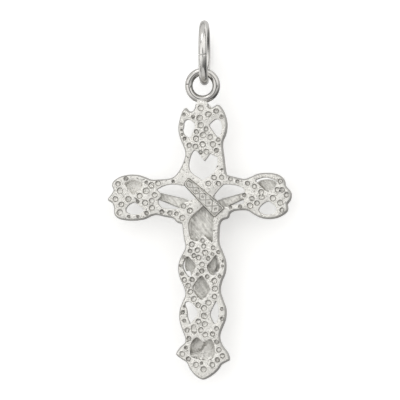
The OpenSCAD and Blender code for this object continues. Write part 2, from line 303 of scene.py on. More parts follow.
def smoothOutline(rows):  # Hermite spans through the charted rows, as (x, z) vectors
    points = [flatSpot(*row[:2]) for row in rows]
    softness = [row[2] if len(row) > 2 else 1 for row in rows]
    count = len(rows)
    slopes = [softness[i] * (points[(i + 1) % count] - points[i - 1]) / 2 for i in range(count)]
    outline = []
    for i in range(count):
        j = (i + 1) % count
        for k in range(spanPieces):
            t = k / spanPieces
            outline.append((2 * t**3 - 3 * t**2 + 1) * points[i] + (t**3 - 2 * t**2 + t) * slopes[i]
                           + (3 * t**2 - 2 * t**3) * points[j] + (t**3 - t**2) * slopes[j])
    return outline


def outwardNormals(outline):
    normals = []
    for i, point in enumerate(outline):
        along = outline[(i + 1) % len(outline)] - outline[i - 1]
        normals.append(Vector((-along.y, along.x)).normalized())
    return normals


# the pierced plate
plate = {
    # grow in mm, height towards the back in mm, from the back face round to the front face
    "edgeSteps": [(-0.050, 0.500), (-0.014, 0.488), (0.000, 0.455), (0.105, -0.20), (0.135, -0.42),
                  (0.110, -0.475), (0.060, -0.500)],
    "openingSteps": [(0.035, 0.500), (0.010, 0.490), (0.000, 0.465), (-0.030, -0.40), (-0.015, -0.475),
                     (0.030, -0.500)],
    "pocketSteps": [(0.035, 0.500), (0.010, 0.490), (0.000, 0.465)],
    "pocketFoot": (-0.04, 0.0),  # drawn level, then moved with the floor
    "floorCuts": 3, "levelRoom": 1e-9,  # and the metres by which an edge of a floor may be off level
    # heights in mm of the web and of the small hollow's floor, with its rise and the rows that the rise takes
    "web": -0.02, "hollow": 0.33, "hollowRise": 0.14, "hollowRows": (329, 334),
    # the low heart's two lobes: heights, ripples (height, radians for a column and for a row) and slopes up to the
    # lower rim, with the rows that they take; the ledge across the left one; and the slanting line between the two
    "leftLobe": -0.10, "leftRipple": (0.03, 1.1, 0), "leftSlope": 0.36, "leftRows": 8.5,
    "rightLobe": 0.14, "rightRipple": (0.04, 0.8, -0.5), "rightSlope": 0.26, "rightRows": 11,
    "ledgeRow": 350.6, "ledge": 0.24, "ledgeRows": 0.9, "lobeLean": 0.5, "lobeCols": (199.6, 202.0),
    # heights in mm between which the tarnish and painted shade fade and how deep they are, and of the foot and the
    # top of the rims painted dark as shade
    "stainShade": (0.24, 0.38, 0.60), "shadedRims": (0.37, 0.41, 0.465, 0.487), "rough": 0.12,
}
dimple = {
    # share of the radius, height over the back face as a share of the radius
    "profile": [(1.26, 0.20), (1.15, 0.0), (1.07, -0.15), (0.96, -0.36), (0.82, -0.51), (0.52, -0.59),
                (0.0, -0.62)],
    "sides": 20,
    "wobble": 0.06,  # share by which one is longer than wide
    "depthWobble": 0.12,
    "seed": 7,
}
# column, row, radius, all in grid steps
dimples = [
    (200.6, 108.0, 2.8), (208.3, 114.2, 2.8), (216.2, 111.0, 2.5), (221.6, 117.0, 2.0), (193.0, 116.8, 1.8),
    (199.6, 117.9, 2.9), (200.6, 125.1, 2.8), (206.0, 129.0, 2.3), (196.4, 131.7, 2.3), (203.1, 135.0, 2.9),
    (210.2, 137.0, 2.5), (196.0, 138.6, 2.8), (189.1, 145.3, 2.4), (195.3, 146.5, 2.5), (202.7, 144.3, 2.8),
    (212.9, 144.3, 2.8), (218.2, 139.7, 2.0), (206.4, 151.6, 2.6), (216.5, 150.4, 2.3), (200.6, 152.3, 2.0),
    (184.5, 138.5, 1.8), (183.8, 114.5, 1.8), (181.5, 124.0, 1.4), (181.5, 130.0, 1.3), (182.0, 134.4, 1.3),
    (117.9, 183.7, 2.4), (125.8, 178.5, 2.2), (119.8, 190.7, 2.9), (115.3, 199.0, 2.6), (121.2, 204.3, 2.6),
    (128.2, 199.0, 2.8), (119.4, 212.3, 2.8), (139.4, 195.8, 2.6), (137.5, 201.3, 1.8), (146.0, 190.8, 3.0),
    (151.2, 185.2, 2.7), (146.3, 182.2, 1.6), (158.0, 183.2, 2.6), (154.6, 195.0, 2.5), (151.6, 200.6, 2.5),
    (145.0, 202.7, 2.8), (151.8, 208.0, 2.8), (146.4, 213.2, 2.1), (161.7, 211.7, 2.2), (137.8, 216.6, 1.6),
    (128.5, 216.4, 1.6), (169.9, 213.0, 2.3), (176.3, 213.6, 2.0), (182.3, 217.8, 2.8), (183.5, 206.0, 2.5),
    (189.9, 210.7, 2.8), (173.0, 181.4, 1.6), (230.5, 179.0, 2.2), (237.5, 181.5, 1.8), (247.6, 183.3, 2.3),
    (254.5, 186.4, 2.3), (261.2, 192.0, 2.6), (261.7, 197.1, 2.7), (252.1, 198.6, 2.4), (244.3, 195.1, 2.0),
    (250.1, 205.8, 2.9), (257.1, 203.1, 2.5), (240.2, 206.6, 1.8), (230.5, 207.2, 1.5), (272.9, 198.2, 2.8),
    (277.6, 189.9, 2.5), (282.1, 190.0, 2.5), (280.4, 181.2, 2.3), (286.6, 195.0, 2.5), (280.3, 202.8, 2.7),
    (282.0, 210.1, 2.3), (214.0, 177.5, 2.5), (221.8, 177.3, 2.3), (208.2, 183.5, 2.5), (218.6, 183.6, 2.4),
    (191.9, 244.3, 2.7), (202.6, 240.6, 2.2), (203.7, 246.2, 2.3), (197.3, 250.2, 2.5), (190.0, 251.0, 2.1),
    (205.2, 252.6, 2.8), (193.8, 255.6, 2.2), (198.6, 257.6, 2.5), (208.0, 258.4, 2.1), (212.4, 254.2, 1.8),
    (213.1, 247.7, 2.1), (218.4, 252.1, 1.9), (202.0, 264.6, 2.5), (201.8, 271.0, 2.4), (197.6, 274.2, 1.7),
    (207.2, 276.6, 2.1), (184.2, 257.0, 1.6), (180.6, 265.6, 1.5), (182.0, 273.7, 1.8), (223.0, 261.0, 1.4),
    (222.6, 266.0, 1.3), (219.6, 276.4, 1.8), (184.3, 279.8, 2.4), (192.1, 279.5, 2.4), (188.1, 285.6, 2.5),
    (190.3, 291.8, 2.5), (193.8, 299.0, 2.6), (198.1, 305.1, 2.5), (204.1, 308.2, 2.7), (208.4, 302.6, 2.7),
    (214.4, 280.8, 2.7), (214.9, 288.5, 2.7), (214.5, 296.5, 2.5), (221.8, 308.9, 1.7), (204.2, 315.9, 2.9),
    (222.0, 318.7, 2.0), (182.6, 312.3, 2.0), (184.6, 306.2, 1.4), (184.2, 320.6, 1.8), (198.4, 321.4, 2.6),
    (204.8, 324.1, 2.7), (200.8, 330.0, 2.5), (205.2, 334.6, 2.5), (187.0, 330.1, 2.3), (216.6, 328.4, 2.1),
    (212.6, 334.0, 2.4), (188.9, 338.4, 2.3), (216.6, 342.0, 2.2), (218.9, 349.8, 2.5), (222.4, 355.8, 2.4),
    (217.4, 359.8, 2.4), (212.4, 364.8, 2.6), (203.5, 369.3, 2.8), (196.0, 364.8, 2.7), (201.6, 363.0, 1.5),
    (188.3, 358.7, 2.2), (182.2, 354.0, 2.5), (185.8, 347.6, 1.9),
]
# small flaws of the casting: column, row, length, width, depth in grid steps, turn in degrees
nicks = [
    (219.5, 144.5, 3.4, 1.2, 2.6, 20), (217.3, 162.0, 2.0, 1.1, 2.0, 80), (217.5, 166.3, 2.0, 1.2, 2.0, 60),
    (221.8, 169.2, 4.4, 1.7, 3.0, 15), (187.6, 157.2, 3.8, 0.9, 2.0, -40), (184.6, 162.0, 3.6, 0.8, 1.4, -65),
    (135.6, 198.4, 3.6, 1.3, 1.6, -35), (137.5, 178.2, 1.6, 1.0, 1.4, 0), (143.4, 179.4, 2.8, 0.9, 1.6, 15),
    (241.6, 181.4, 2.8, 0.8, 1.4, 10), (214.2, 230.6, 2.6, 1.0, 2.0, 0), (198.0, 269.0, 5.4, 0.6, 0.9, -48),
    (187.3, 350.6, 2.2, 0.8, 1.2, 10), (187.4, 341.6, 3.4, 0.8, 1.4, 15), (219.4, 342.2, 2.6, 1.0, 1.8, 60),
    (180.6, 314.4, 1.8, 1.1, 1.6, 0), (186.8, 316.2, 2.2, 0.7, 1.2, 10),
]
nickRadius = 0.55  # of the faceted ball that cuts a nick of unit size


def drawLoop(bm, outline, normals, grow, height):
    count = len(outline)
    verts = []
    for point, normal in zip(outline, normals):
        moved = point + normal * grow * mm
        verts.append(bm.verts.new((moved.x, height * mm, moved.y)))
    return [bm.edges.new((verts[i], verts[(i + 1) % count])) for i in range(count)]


def drawWall(bm, rows, steps):  # a wall of bridged loops, and its first and last loop
    outline = smoothOutline(rows)
    normals = outwardNormals(outline)
    loops = [drawLoop(bm, outline, normals, grow, height) for grow, height in steps]
    for upper, lower in zip(loops, loops[1:]):
        bmesh.ops.bridge_loops(bm, edges=upper + lower)
    return loops[0], loops[-1]


def ease(value, low, high):  # 0 at low, 1 at high, smooth on the way
    t = min(max((value - low) / (high - low), 0), 1)
    return t * t * (3 - 2 * t)


def floorHeight(name, co):  # of a pocket's floor at that place, in mm
    col = grid["axisCol"] - co.x / grid["step"]
    row = grid["eyeRow"] - co.z / grid["step"]
    if name == "armLeftUpper":
        return plate["web"]
    if name == "teardrop":
        return plate["hollow"] + plate["hollowRise"] * ease(row, *plate["hollowRows"])
    ledgeRow = plate["ledgeRow"]

    def lobe(side):
        height, perCol, perRow = plate[side + "Ripple"]
        return (plate[side + "Lobe"] + height * math.sin(perCol * col + perRow * row)
                + plate[side + "Slope"] * ease(row, ledgeRow, ledgeRow + plate[side + "Rows"]))

    left = lobe("left") + plate["ledge"] * ease(row, ledgeRow, ledgeRow + plate["ledgeRows"])
    return left + (lobe("right") - left) * ease(col + plate["lobeLean"] * (row - ledgeRow), *plate["lobeCols"])


def buildPlate():
    bm = bmesh.new()
    backEdges, frontEdges = drawWall(bm, crossEdge, plate["edgeSteps"])
    for rows in openings.values():
        first, last = drawWall(bm, rows, plate["openingSteps"])
        backEdges += first
        frontEdges += last
    for name, rows in pockets.items():
        first, last = drawWall(bm, rows, plate["pocketSteps"] + [plate["pocketFoot"]])
        backEdges += first
        floor = bmesh.ops.triangle_fill(bm, use_beauty=True, edges=last)["geom"]
        inner = [item for item in floor if isinstance(item, bmesh.types.BMEdge)]
        bmesh.ops.subdivide_edges(bm, edges=inner, cuts=plate["floorCuts"], use_grid_fill=True)
        rim = {vert for edge in last for vert in edge.verts}
        reached, waiting = set(rim), list(rim)
        while waiting:  # every vertex of the floor is joined to its rim by level edges
            vert = waiting.pop()
            for edge in vert.link_edges:
                other = edge.other_vert(vert)
                if other not in reached and abs(other.co.y) < plate["levelRoom"]:
                    reached.add(other)
                    waiting.append(other)
        for vert in reached:
            vert.co.y = floorHeight(name, vert.co) * mm
    bmesh.ops.triangle_fill(bm, use_beauty=True, edges=backEdges, normal=(0, 1, 0))
    bmesh.ops.triangle_fill(bm, use_beauty=True, edges=frontEdges, normal=(0, -1, 0))
    bmesh.ops.recalc_face_normals(bm, faces=bm.faces)
    return looseObject(bm, "cross_plate")


def stamp(bm, shape, place):  # adds a placed copy of a small mesh
    placed = shape.copy()
    placed.transform(place)
    bm.from_mesh(placed)
    bpy.data.meshes.remove(placed)


def lathe(profile, steps):  # a closed form: a profile of (radius, height) turned about Y
    bm = bmesh.new()
    verts = [bm.verts.new((radius, height, 0)) for radius, height in profile]
    edges = [bm.edges.new(pair) for pair in zip(verts, verts[1:])]
    bmesh.ops.spin(bm, geom=verts + edges, cent=(0, 0, 0), axis=(0, 1, 0), angle=2 * math.pi, steps=steps,
                   use_merge=True)
    bmesh.ops.remove_doubles(bm, verts=bm.verts, dist=profile[0][0] * 1e-4)
    bmesh.ops.holes_fill(bm, edges=[edge for edge in bm.edges if edge.is_boundary], sides=0)
    return smallMesh(bm, "lathed")


def buildDimpleCutter():
    bm = bmesh.new()
    bowl = lathe(dimple["profile"], dimple["sides"])
    draw = random.Random(dimple["seed"])
    for col, row, radius in dimples:
        size = radius * grid["step"]
        stretch = 1 + draw.uniform(-dimple["wobble"], dimple["wobble"])
        turn = draw.uniform(0, math.pi)
        deep = 1 + draw.uniform(-dimple["depthWobble"], dimple["depthWobble"])
        stamp(bm, bowl, Matrix.Translation(spot(col, row, faceHeight)) @ Matrix.Rotation(turn, 4, "Y")
              @ Matrix.Diagonal((size * stretch, size * deep, size / stretch, 1)))
    return looseObject(bm, "dimple_cutter")


def cut(thing, cutter):
    boolean = thing.modifiers.new("cut", "BOOLEAN")
    boolean.object = cutter
    boolean.operation = "DIFFERENCE"
    boolean.solver = "MANIFOLD"
    bakeModifiers(thing)
    drop(cutter)


def buildNickCutter(rows, height):  # small wedges that bite into a face at that height
    bm = bmesh.new()
    for col, row, length, width, depth, turn in rows:
        place = (Matrix.Translation(spot(col, row, height)) @ Matrix.Rotation(math.radians(turn), 4, "Y")
                 @ Matrix.Diagonal((length * grid["step"], 2 * depth * grid["step"], width * grid["step"], 1)))
        bmesh.ops.create_icosphere(bm, subdivisions=1, radius=nickRadius, matrix=place)
    return looseObject(bm, "nick_cutter")


# finishes
finish = {
    # pairs of colours are the dullest and the brightest that a metal's patches reach
    "satin": ((0.64, 0.625, 0.585, 1), (1.0, 0.99, 0.96, 1)), "satinRough": 0.20,
    "polished": ((0.62, 0.61, 0.595, 1), (0.82, 0.81, 0.79, 1)), "polishedRough": 0.12,
    # dark colours: tarnish and painted shade in recesses and along the loop's edges, the back's own pits, and painted
    # shade on rims
    "stainShade": (0.30, 0.29, 0.27, 1), "pit": (0.36, 0.35, 0.325, 1), "rimShade": (0.20, 0.19, 0.175, 1),
    "pitDepth": 0.4, "rimShadeDepth": 0.91,
    # noise scale and detail of broad patches, mottle, casting marks, sand-like grain and pits
    "patches": (1700, 3), "mottle": (5200, 2), "marks": (2600, 2), "grain": (12000, 2), "pits": (7600, 1),
    "pitEdge": (0.60, 0.72),
    # noise scale and detail of the polished metal's wear and of its slight waves
    "wear": (1500, 4), "waves": (1200, 2),
    # heights in mm: where the tarnish and painted shade end at the front face, where the rough back gives way, the
    # front grains' rise
    "frontFace": (-0.52, -0.42), "rear": (-0.49, -0.40), "grainTops": (-0.52, -0.80),
    # brightness of the back and of the front, and how much bump the smooth front keeps
    "backShade": 0.60, "frontShade": 0.44, "topShade": 0.25, "frontBump": 0.07,
    "webMiddle": (133.5, 187.0), "webReach": (0.75e-3, 1.05e-3),  # the tarnish and painted shade are kept off the closed pocket of one arm
    "bossMiddle": (202.5, 349.5), "bossReach": (0.85e-3, 1.2e-3), "bossStainShadeCut": 0.4,  # and off the low heart in part
}


def makeSatinSilver(name, piece):  # by the heights of tarnish and painted shade, of the rims painted dark as shade, and the rough of the piece's dictionary
    look = Look(name, {"Metallic": 1.0})
    stainShadeFrom, stainShadeTo, depth = piece["stainShade"]
    footFrom, footTo, topFrom, topTo = piece["shadedRims"]
    fromWeb = look.away(spot(*finish["webMiddle"])).between(*finish["webReach"])
    fromBoss = look.away(spot(*finish["bossMiddle"])).between(*finish["bossReach"])
    stainShadeKept = fromWeb * (1 - finish["bossStainShadeCut"] + finish["bossStainShadeCut"] * fromBoss)
    # tarnish and painted shade: side walls and pocket floors between the back face and the front face are painted
    # darker
    deep = depth * (1.0 - look.rise(stainShadeFrom, stainShadeTo)) * look.rise(*finish["frontFace"]) * stainShadeKept
    # painted shade: a dark band round the walls of the dimples and of the edges near the back face
    rim = look.rise(footFrom, footTo) * (1.0 - look.rise(topFrom, topTo))
    patches, mottle, grain = [look.noise(*finish[kind]) for kind in ("patches", "mottle", "grain")]
    pits = look.noise(*finish["pits"]).between(*finish["pitEdge"])
    rear = look.rise(*finish["rear"])  # the back is rougher than the front
    behind = 0.5 * (patches - 0.5) + 0.5 * (mottle - 0.5) + 1.4 * (grain - 0.5) + finish["backShade"]
    ahead = (0.75 * (patches - 0.5) + 0.9 * (mottle - 0.5) + finish["frontShade"]
             + finish["topShade"] * look.rise(*finish["grainTops"]))
    shade = (rear * behind + (1.0 - rear) * ahead).clamped()
    patchyRim = (2.6 * (mottle - 0.5) + 0.75).clamped()  # the painted shade of the rims is broken up in places
    pitted = look.mix(finish["pitDepth"] * pits * rear, look.mix(shade, *finish["satin"]), finish["pit"])
    rimmed = look.mix(finish["rimShadeDepth"] * rim * patchyRim, pitted, finish["rimShade"])
    look.feed("Base Color", look.mix(deep, rimmed, finish["stainShade"]))
    look.feed("Roughness", finish["satinRough"] + 0.16 * patches + 0.08 * deep)
    coarse = 0.35 * look.noise(*finish["marks"]) + 0.16 * mottle + 0.5 * grain - 0.25 * pits
    look.bump(coarse * (finish["frontBump"] + (1 - finish["frontBump"]) * rear), piece["rough"] * mm)
    return look


def makeBrightSilver():
    look = Look("polished silver", {"Metallic": 1.0})
    wear = look.noise(*finish["wear"])
    look.feed("Base Color", look.mix(wear, *finish["polished"]))
    look.feed("Roughness", finish["polishedRough"] + 0.12 * wear)
    look.bump(look.noise(*finish["waves"]), 0.02 * mm, 0.5)
    return look


satinSilver = makeSatinSilver("satin silver", plate)
brightSilver = makeBrightSilver()

crossPlate = buildPlate()
cut(crossPlate, buildDimpleCutter())
cut(crossPlate, buildNickCutter(nicks, faceHeight))
dress(crossPlate, satinSilver, "pendant", ["cross"])
print("plate done")

# front of the cross: a grain over each dimple, and the boss over the low heart
front = {"grain": [(1.0, -0.10), (0.94, 0.10), (0.72, 0.33), (0.38, 0.48), (0.0, 0.52)], "grainSides": 14,
         "edgeRoom": 0.04, "smallest": 0.08,  # from a grain to an edge, and its least radius, in mm
         "boss": (202.5, 349.5), "bossRadius": 1.28, "bossRise": 0.32, "bossFoot": -0.1, "bossRings": 7,
         "bossSides": 72,
         # tapered strips that the figure covers: column, row and half width in mm at one end and at the other
         "covered": [(190, 206, 0.8, 198, 248, 1.1), (215, 206, 0.8, 204, 248, 1.1), (195, 248, 1.1, 197, 292, 0.7),
                     (206, 248, 1.2, 206, 292, 0.7), (201, 290, 0.8, 203.5, 340, 0.5), (190, 206, 0.6, 134, 188, 0.5),
                     (215, 206, 0.6, 268, 188, 0.5), (206, 200, 0.9, 213, 182, 1.0), (215, 240, 0.4, 218, 268, 0.4)]}
allOutlines = [smoothOutline(rows) for rows in (crossEdge, *openings.values())]
turnOver = Matrix.Rotation(math.pi, 4, "X")  # from the back to the front


def offLine(point, a, b):  # the share of the way from a to b that is nearest the point, and its distance
    along = b - a
    share = min(max((point - a).dot(along) / along.length_squared, 0), 1)
    return share, (point - a - along * share).length


def nearestEdge(point):
    return min(offLine(point, a, b)[1] for outline in allOutlines for a, b in zip(outline, outline[1:] + outline[:1]))


def underFigure(point, room):
    for colA, rowA, wideA, colB, rowB, wideB in front["covered"]:
        share, off = offLine(point, flatSpot(colA, rowA), flatSpot(colB, rowB))
        if off < (wideA + (wideB - wideA) * share) * mm + room:
            return True
    return False


def buildFront():
    bm = bmesh.new()
    grain = lathe(front["grain"], front["grainSides"])
    radius, rise = front["bossRadius"], front["bossRise"]
    boss = flatSpot(*front["boss"])
    for col, row, across in dimples:
        flat = flatSpot(col, row)
        size = min(across * grid["step"], nearestEdge(flat) - front["edgeRoom"] * mm)
        if size < front["smallest"] * mm or underFigure(flat, size) or (flat - boss).length < radius * mm + size:
            continue
        stamp(bm, grain, Matrix.Translation(spot(col, row, -faceHeight)) @ turnOver @ Matrix.Scale(size, 4))
    dome = (radius**2 + rise**2) / (2 * rise)  # radius of the sphere that the boss is a cap of
    profile = [(radius * mm, front["bossFoot"] * mm)]
    for k in range(front["bossRings"] + 1):
        across = radius * (1 - k / front["bossRings"])
        profile.append((across * mm, (math.sqrt(dome**2 - across**2) - dome + rise) * mm))
    stamp(bm, lathe(profile, front["bossSides"]), Matrix.Translation(spot(*front["boss"], -faceHeight)) @ turnOver)
    finishPiece(bm, "front_grains", satinSilver, "pendant", ["cross"], sharp=50)


buildFront()
print("front done")

# jump ring, cut at its back so that it can be opened
ring = {"outer": 5.55, "wire": 0.75, "seamRow": 55.2, "seamGap": 0.04, "chamfer": 0.035, "around": 32,
        "steps": 150}
ringMid = (ring["outer"] - ring["wire"]) / 2 * mm
ringHeight = -(ring["outer"] / 2 - ring["wire"]) * mm


def buildRing():
    bm = bmesh.new()
    seamAngle = math.asin((gridZ(ring["seamRow"]) - ringHeight) / ringMid)
    gapAngle = ring["seamGap"] * mm / ringMid
    section = bmesh.ops.create_circle(bm, segments=ring["around"], radius=ring["wire"] / 2 * mm)["verts"]
    start = Matrix.Rotation(seamAngle + gapAngle / 2, 4, "X") @ Matrix.Translation((0, ringMid, 0))
    bmesh.ops.transform(bm, matrix=start, verts=section)
    rim = list({edge for vert in section for edge in vert.link_edges})
    bmesh.ops.spin(bm, geom=section + rim, cent=(0, 0, 0), axis=(1, 0, 0), angle=2 * math.pi - gapAngle,
                   steps=ring["steps"])
    ends = [edge for edge in bm.edges if edge.is_boundary]
    bmesh.ops.holes_fill(bm, edges=ends, sides=0)
    bmesh.ops.bevel(bm, geom=ends, offset=ring["chamfer"] * mm, segments=2, profile=0.5, affect="EDGES",
                    material=-1)
    bmesh.ops.translate(bm, vec=(0, 0, ringHeight), verts=bm.verts)
    finishPiece(bm, "jump_ring_wire", brightSilver, "hanger", ["jump_ring"])


buildRing()
print("ring done")

# loop cast on the cross, its neck and the drop of solder beside it
loop = {"outer": 3.0, "wire": 0.66, "hangGap": 0.05, "shift": 0.15, "around": 28, "steps": 96, "voxel": 0.028,
        "smooth": 6,
        # column, row, half width, back height and front height of the neck's sections, from the loop down
        "neck": [(201.8, 98.6, 4.4, 0.27, -0.27), (201.8, 101.4, 5.0, 0.42, -0.30), (201.9, 104.0, 5.3, 0.495, -0.36),
                 (201.9, 105.3, 5.4, 0.496, -0.40), (201.9, 106.2, 5.3, 0.20, -0.40)],
        "solder": [(209.6, 107.2, 0.30, 0.15), (211.2, 108.4, 0.30, 0.12)],  # column, row, height, radius in mm
        "nickHeight": 0.3,
        # colours of the wire and of its satin neck, and the rows between which one gives way to the other
        "metal": ((0.50, 0.49, 0.475, 1), (0.74, 0.73, 0.71, 1)),
        "satin": ((0.62, 0.61, 0.575, 1), (0.86, 0.85, 0.82, 1)), "satinRows": (103.5, 98.5), "grain": (6500, 2),
        # distances from the loop's middle between which its painted dark reflections fade, inside and outside, in
        # metres, and how deep they are
        "darkInside": (0.88e-3, 0.95e-3), "insideDepth": 0.9, "darkOutside": (1.45e-3, 1.48e-3), "outsideDepth": 0.85}
loopNicks = [(187.2, 84.0, 3.4, 1.0, 2.2, 5), (190.3, 86.6, 3.6, 0.8, 2.0, 75), (217.0, 86.5, 4.6, 0.7, 1.0, 80),
             (208.6, 104.8, 2.8, 0.6, 1.6, -50)]
loopMid = (loop["outer"] - loop["wire"]) / 2 * mm
loopDrop = loopMid - (loop["wire"] / 2 + ring["wire"] / 2 + loop["hangGap"]) * mm
loopCentre = Vector((loop["shift"] * mm, 0, ringHeight - ringMid - math.sqrt(loopDrop**2 - (loop["shift"] * mm)**2)))


def makeLoopSilver():  # polished round the loop, with painted dark reflections along its inner and outer edges, satin where its neck runs into the cross
    look = Look("loop silver", {"Metallic": 1.0})
    neck = 1.0 - look.axis("Z").between(*[gridZ(row) for row in loop["satinRows"]])
    reach = look.away(loopCentre)
    # painted dark reflections: a thin dark ring along the loop's inner edge and one along its outer edge, not on the
    # neck
    inside = loop["insideDepth"] * (1.0 - reach.between(*loop["darkInside"]))
    outside = loop["outsideDepth"] * reach.between(*loop["darkOutside"]) * (1.0 - neck)
    wear = look.noise(*finish["wear"])
    grain = look.noise(*loop["grain"])
    metal = look.mix(neck, look.mix(wear, *loop["metal"]), look.mix(grain.between(0.35, 0.65), *loop["satin"]))
    look.feed("Base Color", look.mix(inside + outside, metal, finish["stainShade"]))
    look.feed("Roughness", 0.07 + 0.08 * wear + 0.22 * neck)
    look.bump(0.4 * look.noise(*finish["waves"]) * (1.0 - neck) + grain * neck, 0.06 * mm, 0.6)
    return look


def remesh(thing, voxel, smooth):  # runs the forms of a mesh together, then softens it
    grain = thing.modifiers.new("remesh", "REMESH")
    grain.mode = "VOXEL"
    grain.voxel_size = voxel * mm
    thing.modifiers.new("soften", "SMOOTH").iterations = smooth
    bakeModifiers(thing)


def buildLoop():
    bm = bmesh.new()
    section = bmesh.ops.create_circle(bm, segments=loop["around"], radius=loop["wire"] / 2 * mm)["verts"]
    bmesh.ops.translate(bm, vec=(loopMid, 0, 0), verts=section)
    rim = list({edge for vert in section for edge in vert.link_edges})
    bmesh.ops.spin(bm, geom=section + rim, cent=(0, 0, 0), axis=(0, 1, 0), angle=2 * math.pi,
                   steps=loop["steps"], use_merge=True)
    bmesh.ops.translate(bm, vec=loopCentre, verts=bm.verts)
    before = None
    for col, row, half, back, ahead in loop["neck"]:
        corners = [bm.verts.new(spot(col + side * half, row, height))
                   for side, height in ((-1, back), (1, back), (1, ahead), (-1, ahead))]
        edges = [bm.edges.new((corners[i], corners[(i + 1) % 4])) for i in range(4)]
        if before:
            bmesh.ops.bridge_loops(bm, edges=before + edges)
        before = edges
    bmesh.ops.holes_fill(bm, edges=[edge for edge in bm.edges if edge.is_boundary], sides=0)
    for col, row, height, size in loop["solder"]:
        bmesh.ops.create_icosphere(bm, subdivisions=3, radius=size * mm,
                                   matrix=Matrix.Translation(spot(col, row, height)))
    bmesh.ops.recalc_face_normals(bm, faces=bm.faces)
    thing = looseObject(bm, "hanging_loop")
    remesh(thing, loop["voxel"], loop["smooth"])
    cut(thing, buildNickCutter(loopNicks, loop["nickHeight"]))
    dress(thing, makeLoopSilver(), "pendant", ["cross"], sharp=50)


buildLoop()
print("loop done")

# slanted tablet: a raised rim round a sunk field with a row of plain lozenges
tablet = {
    "corners": [(188.2, 176.8), (183.0, 184.4), (214.2, 218.2), (225.6, 208.0)],
    "foot": 0.36, "shoulder": 0.495, "level": 0.640,  # heights of its foot, its edge and its field in mm
    "insets": [(0.085, 0.155), (0.020, 0.055), (0.050, 0.0), (0.035, -0.065)],  # width, rise
    "cornerRound": 0.20, "cornerPieces": 3,
    # its sunk field is darkened as tarnish and painted shade, and its side walls are painted dark as shade
    "stainShade": (0.65, 0.69, 0.60), "shadedRims": (0.30, 0.32, 0.60, 0.62), "rough": 0.06,
    # hollow lozenges along the middle and wedges between them at the rim: share of the radius, height over the field
    "lozenge": [(1.0, -0.03), (0.92, 0.08), (0.46, 0.08), (0.36, -0.01), (0.0, -0.01)],
    "wedge": [(1.0, -0.03), (0.86, 0.08), (0.0, 0.08)],
    # how many, the bare share of the length at each end, and the bare border and the channels in mm
    "lozenges": 5, "ends": 0.03, "border": 0.17, "channel": 0.036, "pipSize": 0.055,
}
wedgeLong, wedgeHalf = 1.5, 0.87  # length and half width of a three-sided form of radius 1


def buildTablet():
    bm = bmesh.new()
    flats = [flatSpot(col, row) for col, row in tablet["corners"]]
    pieces, reach = tablet["cornerPieces"], tablet["cornerRound"] * mm
    verts = []
    for i, corner in enumerate(flats):
        before, after = (corner - flats[i - 1]).normalized(), (flats[(i + 1) % 4] - corner).normalized()
        for k in range(pieces + 1):
            t = k / pieces
            point = corner - before * reach * (1 - t)**2 + after * reach * t**2
            verts.append(bm.verts.new((point.x, tablet["foot"] * mm, point.y)))
    field = bm.faces.new(verts)
    field.normal_update()
    if field.normal.y < 0:
        field.normal_flip()
    grown = bmesh.ops.extrude_face_region(bm, geom=[field], use_keep_orig=True)["geom"]
    raised = [item for item in grown if isinstance(item, bmesh.types.BMVert)]
    bmesh.ops.translate(bm, vec=(0, (tablet["shoulder"] - tablet["foot"]) * mm, 0), verts=raised)
    top = [item for item in grown if isinstance(item, bmesh.types.BMFace)]
    for width, rise in tablet["insets"]:
        bmesh.ops.inset_region(bm, faces=top, thickness=width * mm, depth=rise * mm, use_even_offset=True)

    a, b, c, d = [spot(col, row) for col, row in tablet["corners"]]
    level = tablet["level"] * mm
    lozenge, wedge = lathe(tablet["lozenge"], 4), lathe(tablet["wedge"], 3)
    along = (d - a + c - b).normalized()
    turn = Vector((1, 0, 0)).rotation_difference(along).to_matrix().to_4x4()
    channel, room = tablet["channel"] * mm, 1 - 2 * tablet["ends"]
    half = (d - a + c - b).length / 4 * room / tablet["lozenges"] - channel  # of a lozenge, along the tablet
    for k in range(2 * tablet["lozenges"] - 1):
        share = tablet["ends"] + room * (k + 1) / (2 * tablet["lozenges"])
        upper, lower = a.lerp(d, share), b.lerp(c, share)
        middle, wide = (upper + lower) / 2, (upper - lower).length / 2 - tablet["border"] * mm
        if k % 2 == 0:
            place = Matrix.Translation((middle.x, level, middle.z))
            stamp(bm, lozenge, place @ turn @ Matrix.Diagonal((half, mm, wide - channel / 2, 1)))
            bmesh.ops.create_icosphere(bm, subdivisions=2, radius=tablet["pipSize"] * mm, matrix=place)
            continue
        tall = wide - channel
        for end in (upper, lower):
            inward = (middle - end).normalized()
            at = middle - inward * (wide - tall / 3)  # a third of the way up is the form's own middle
            facing = Vector((1, 0, 0)).rotation_difference(inward).to_matrix().to_4x4()
            stamp(bm, wedge, Matrix.Translation((at.x, level, at.z)) @ facing
                  @ Matrix.Diagonal((tall / wedgeLong, mm, half / wedgeHalf, 1)))
    finishPiece(bm, "slanted_tablet", makeSatinSilver("tablet silver", tablet), "pendant", ["cross"])


buildTablet()
print("tablet done")

# figure: rounded forms run together and smoothed, then finer ones laid on them
forms = {"ballCuts": 3, "limbSides": 20, "ovalSides": 32}


def lay(col, row, ahead):  # a charted point, with its distance in front of the cross in mm
    return spot(col, row, -faceHeight - ahead)


def makeBall():
    bm = bmesh.new()
    bmesh.ops.create_icosphere(bm, subdivisions=forms["ballCuts"], radius=1)
    return smallMesh(bm, "ball")


ball = makeBall()


def egg(bm, at, size):  # size is its three half widths in mm
    stamp(bm, ball, Matrix.Translation(at) @ Matrix.Diagonal((*(Vector(size) * mm), 1)))


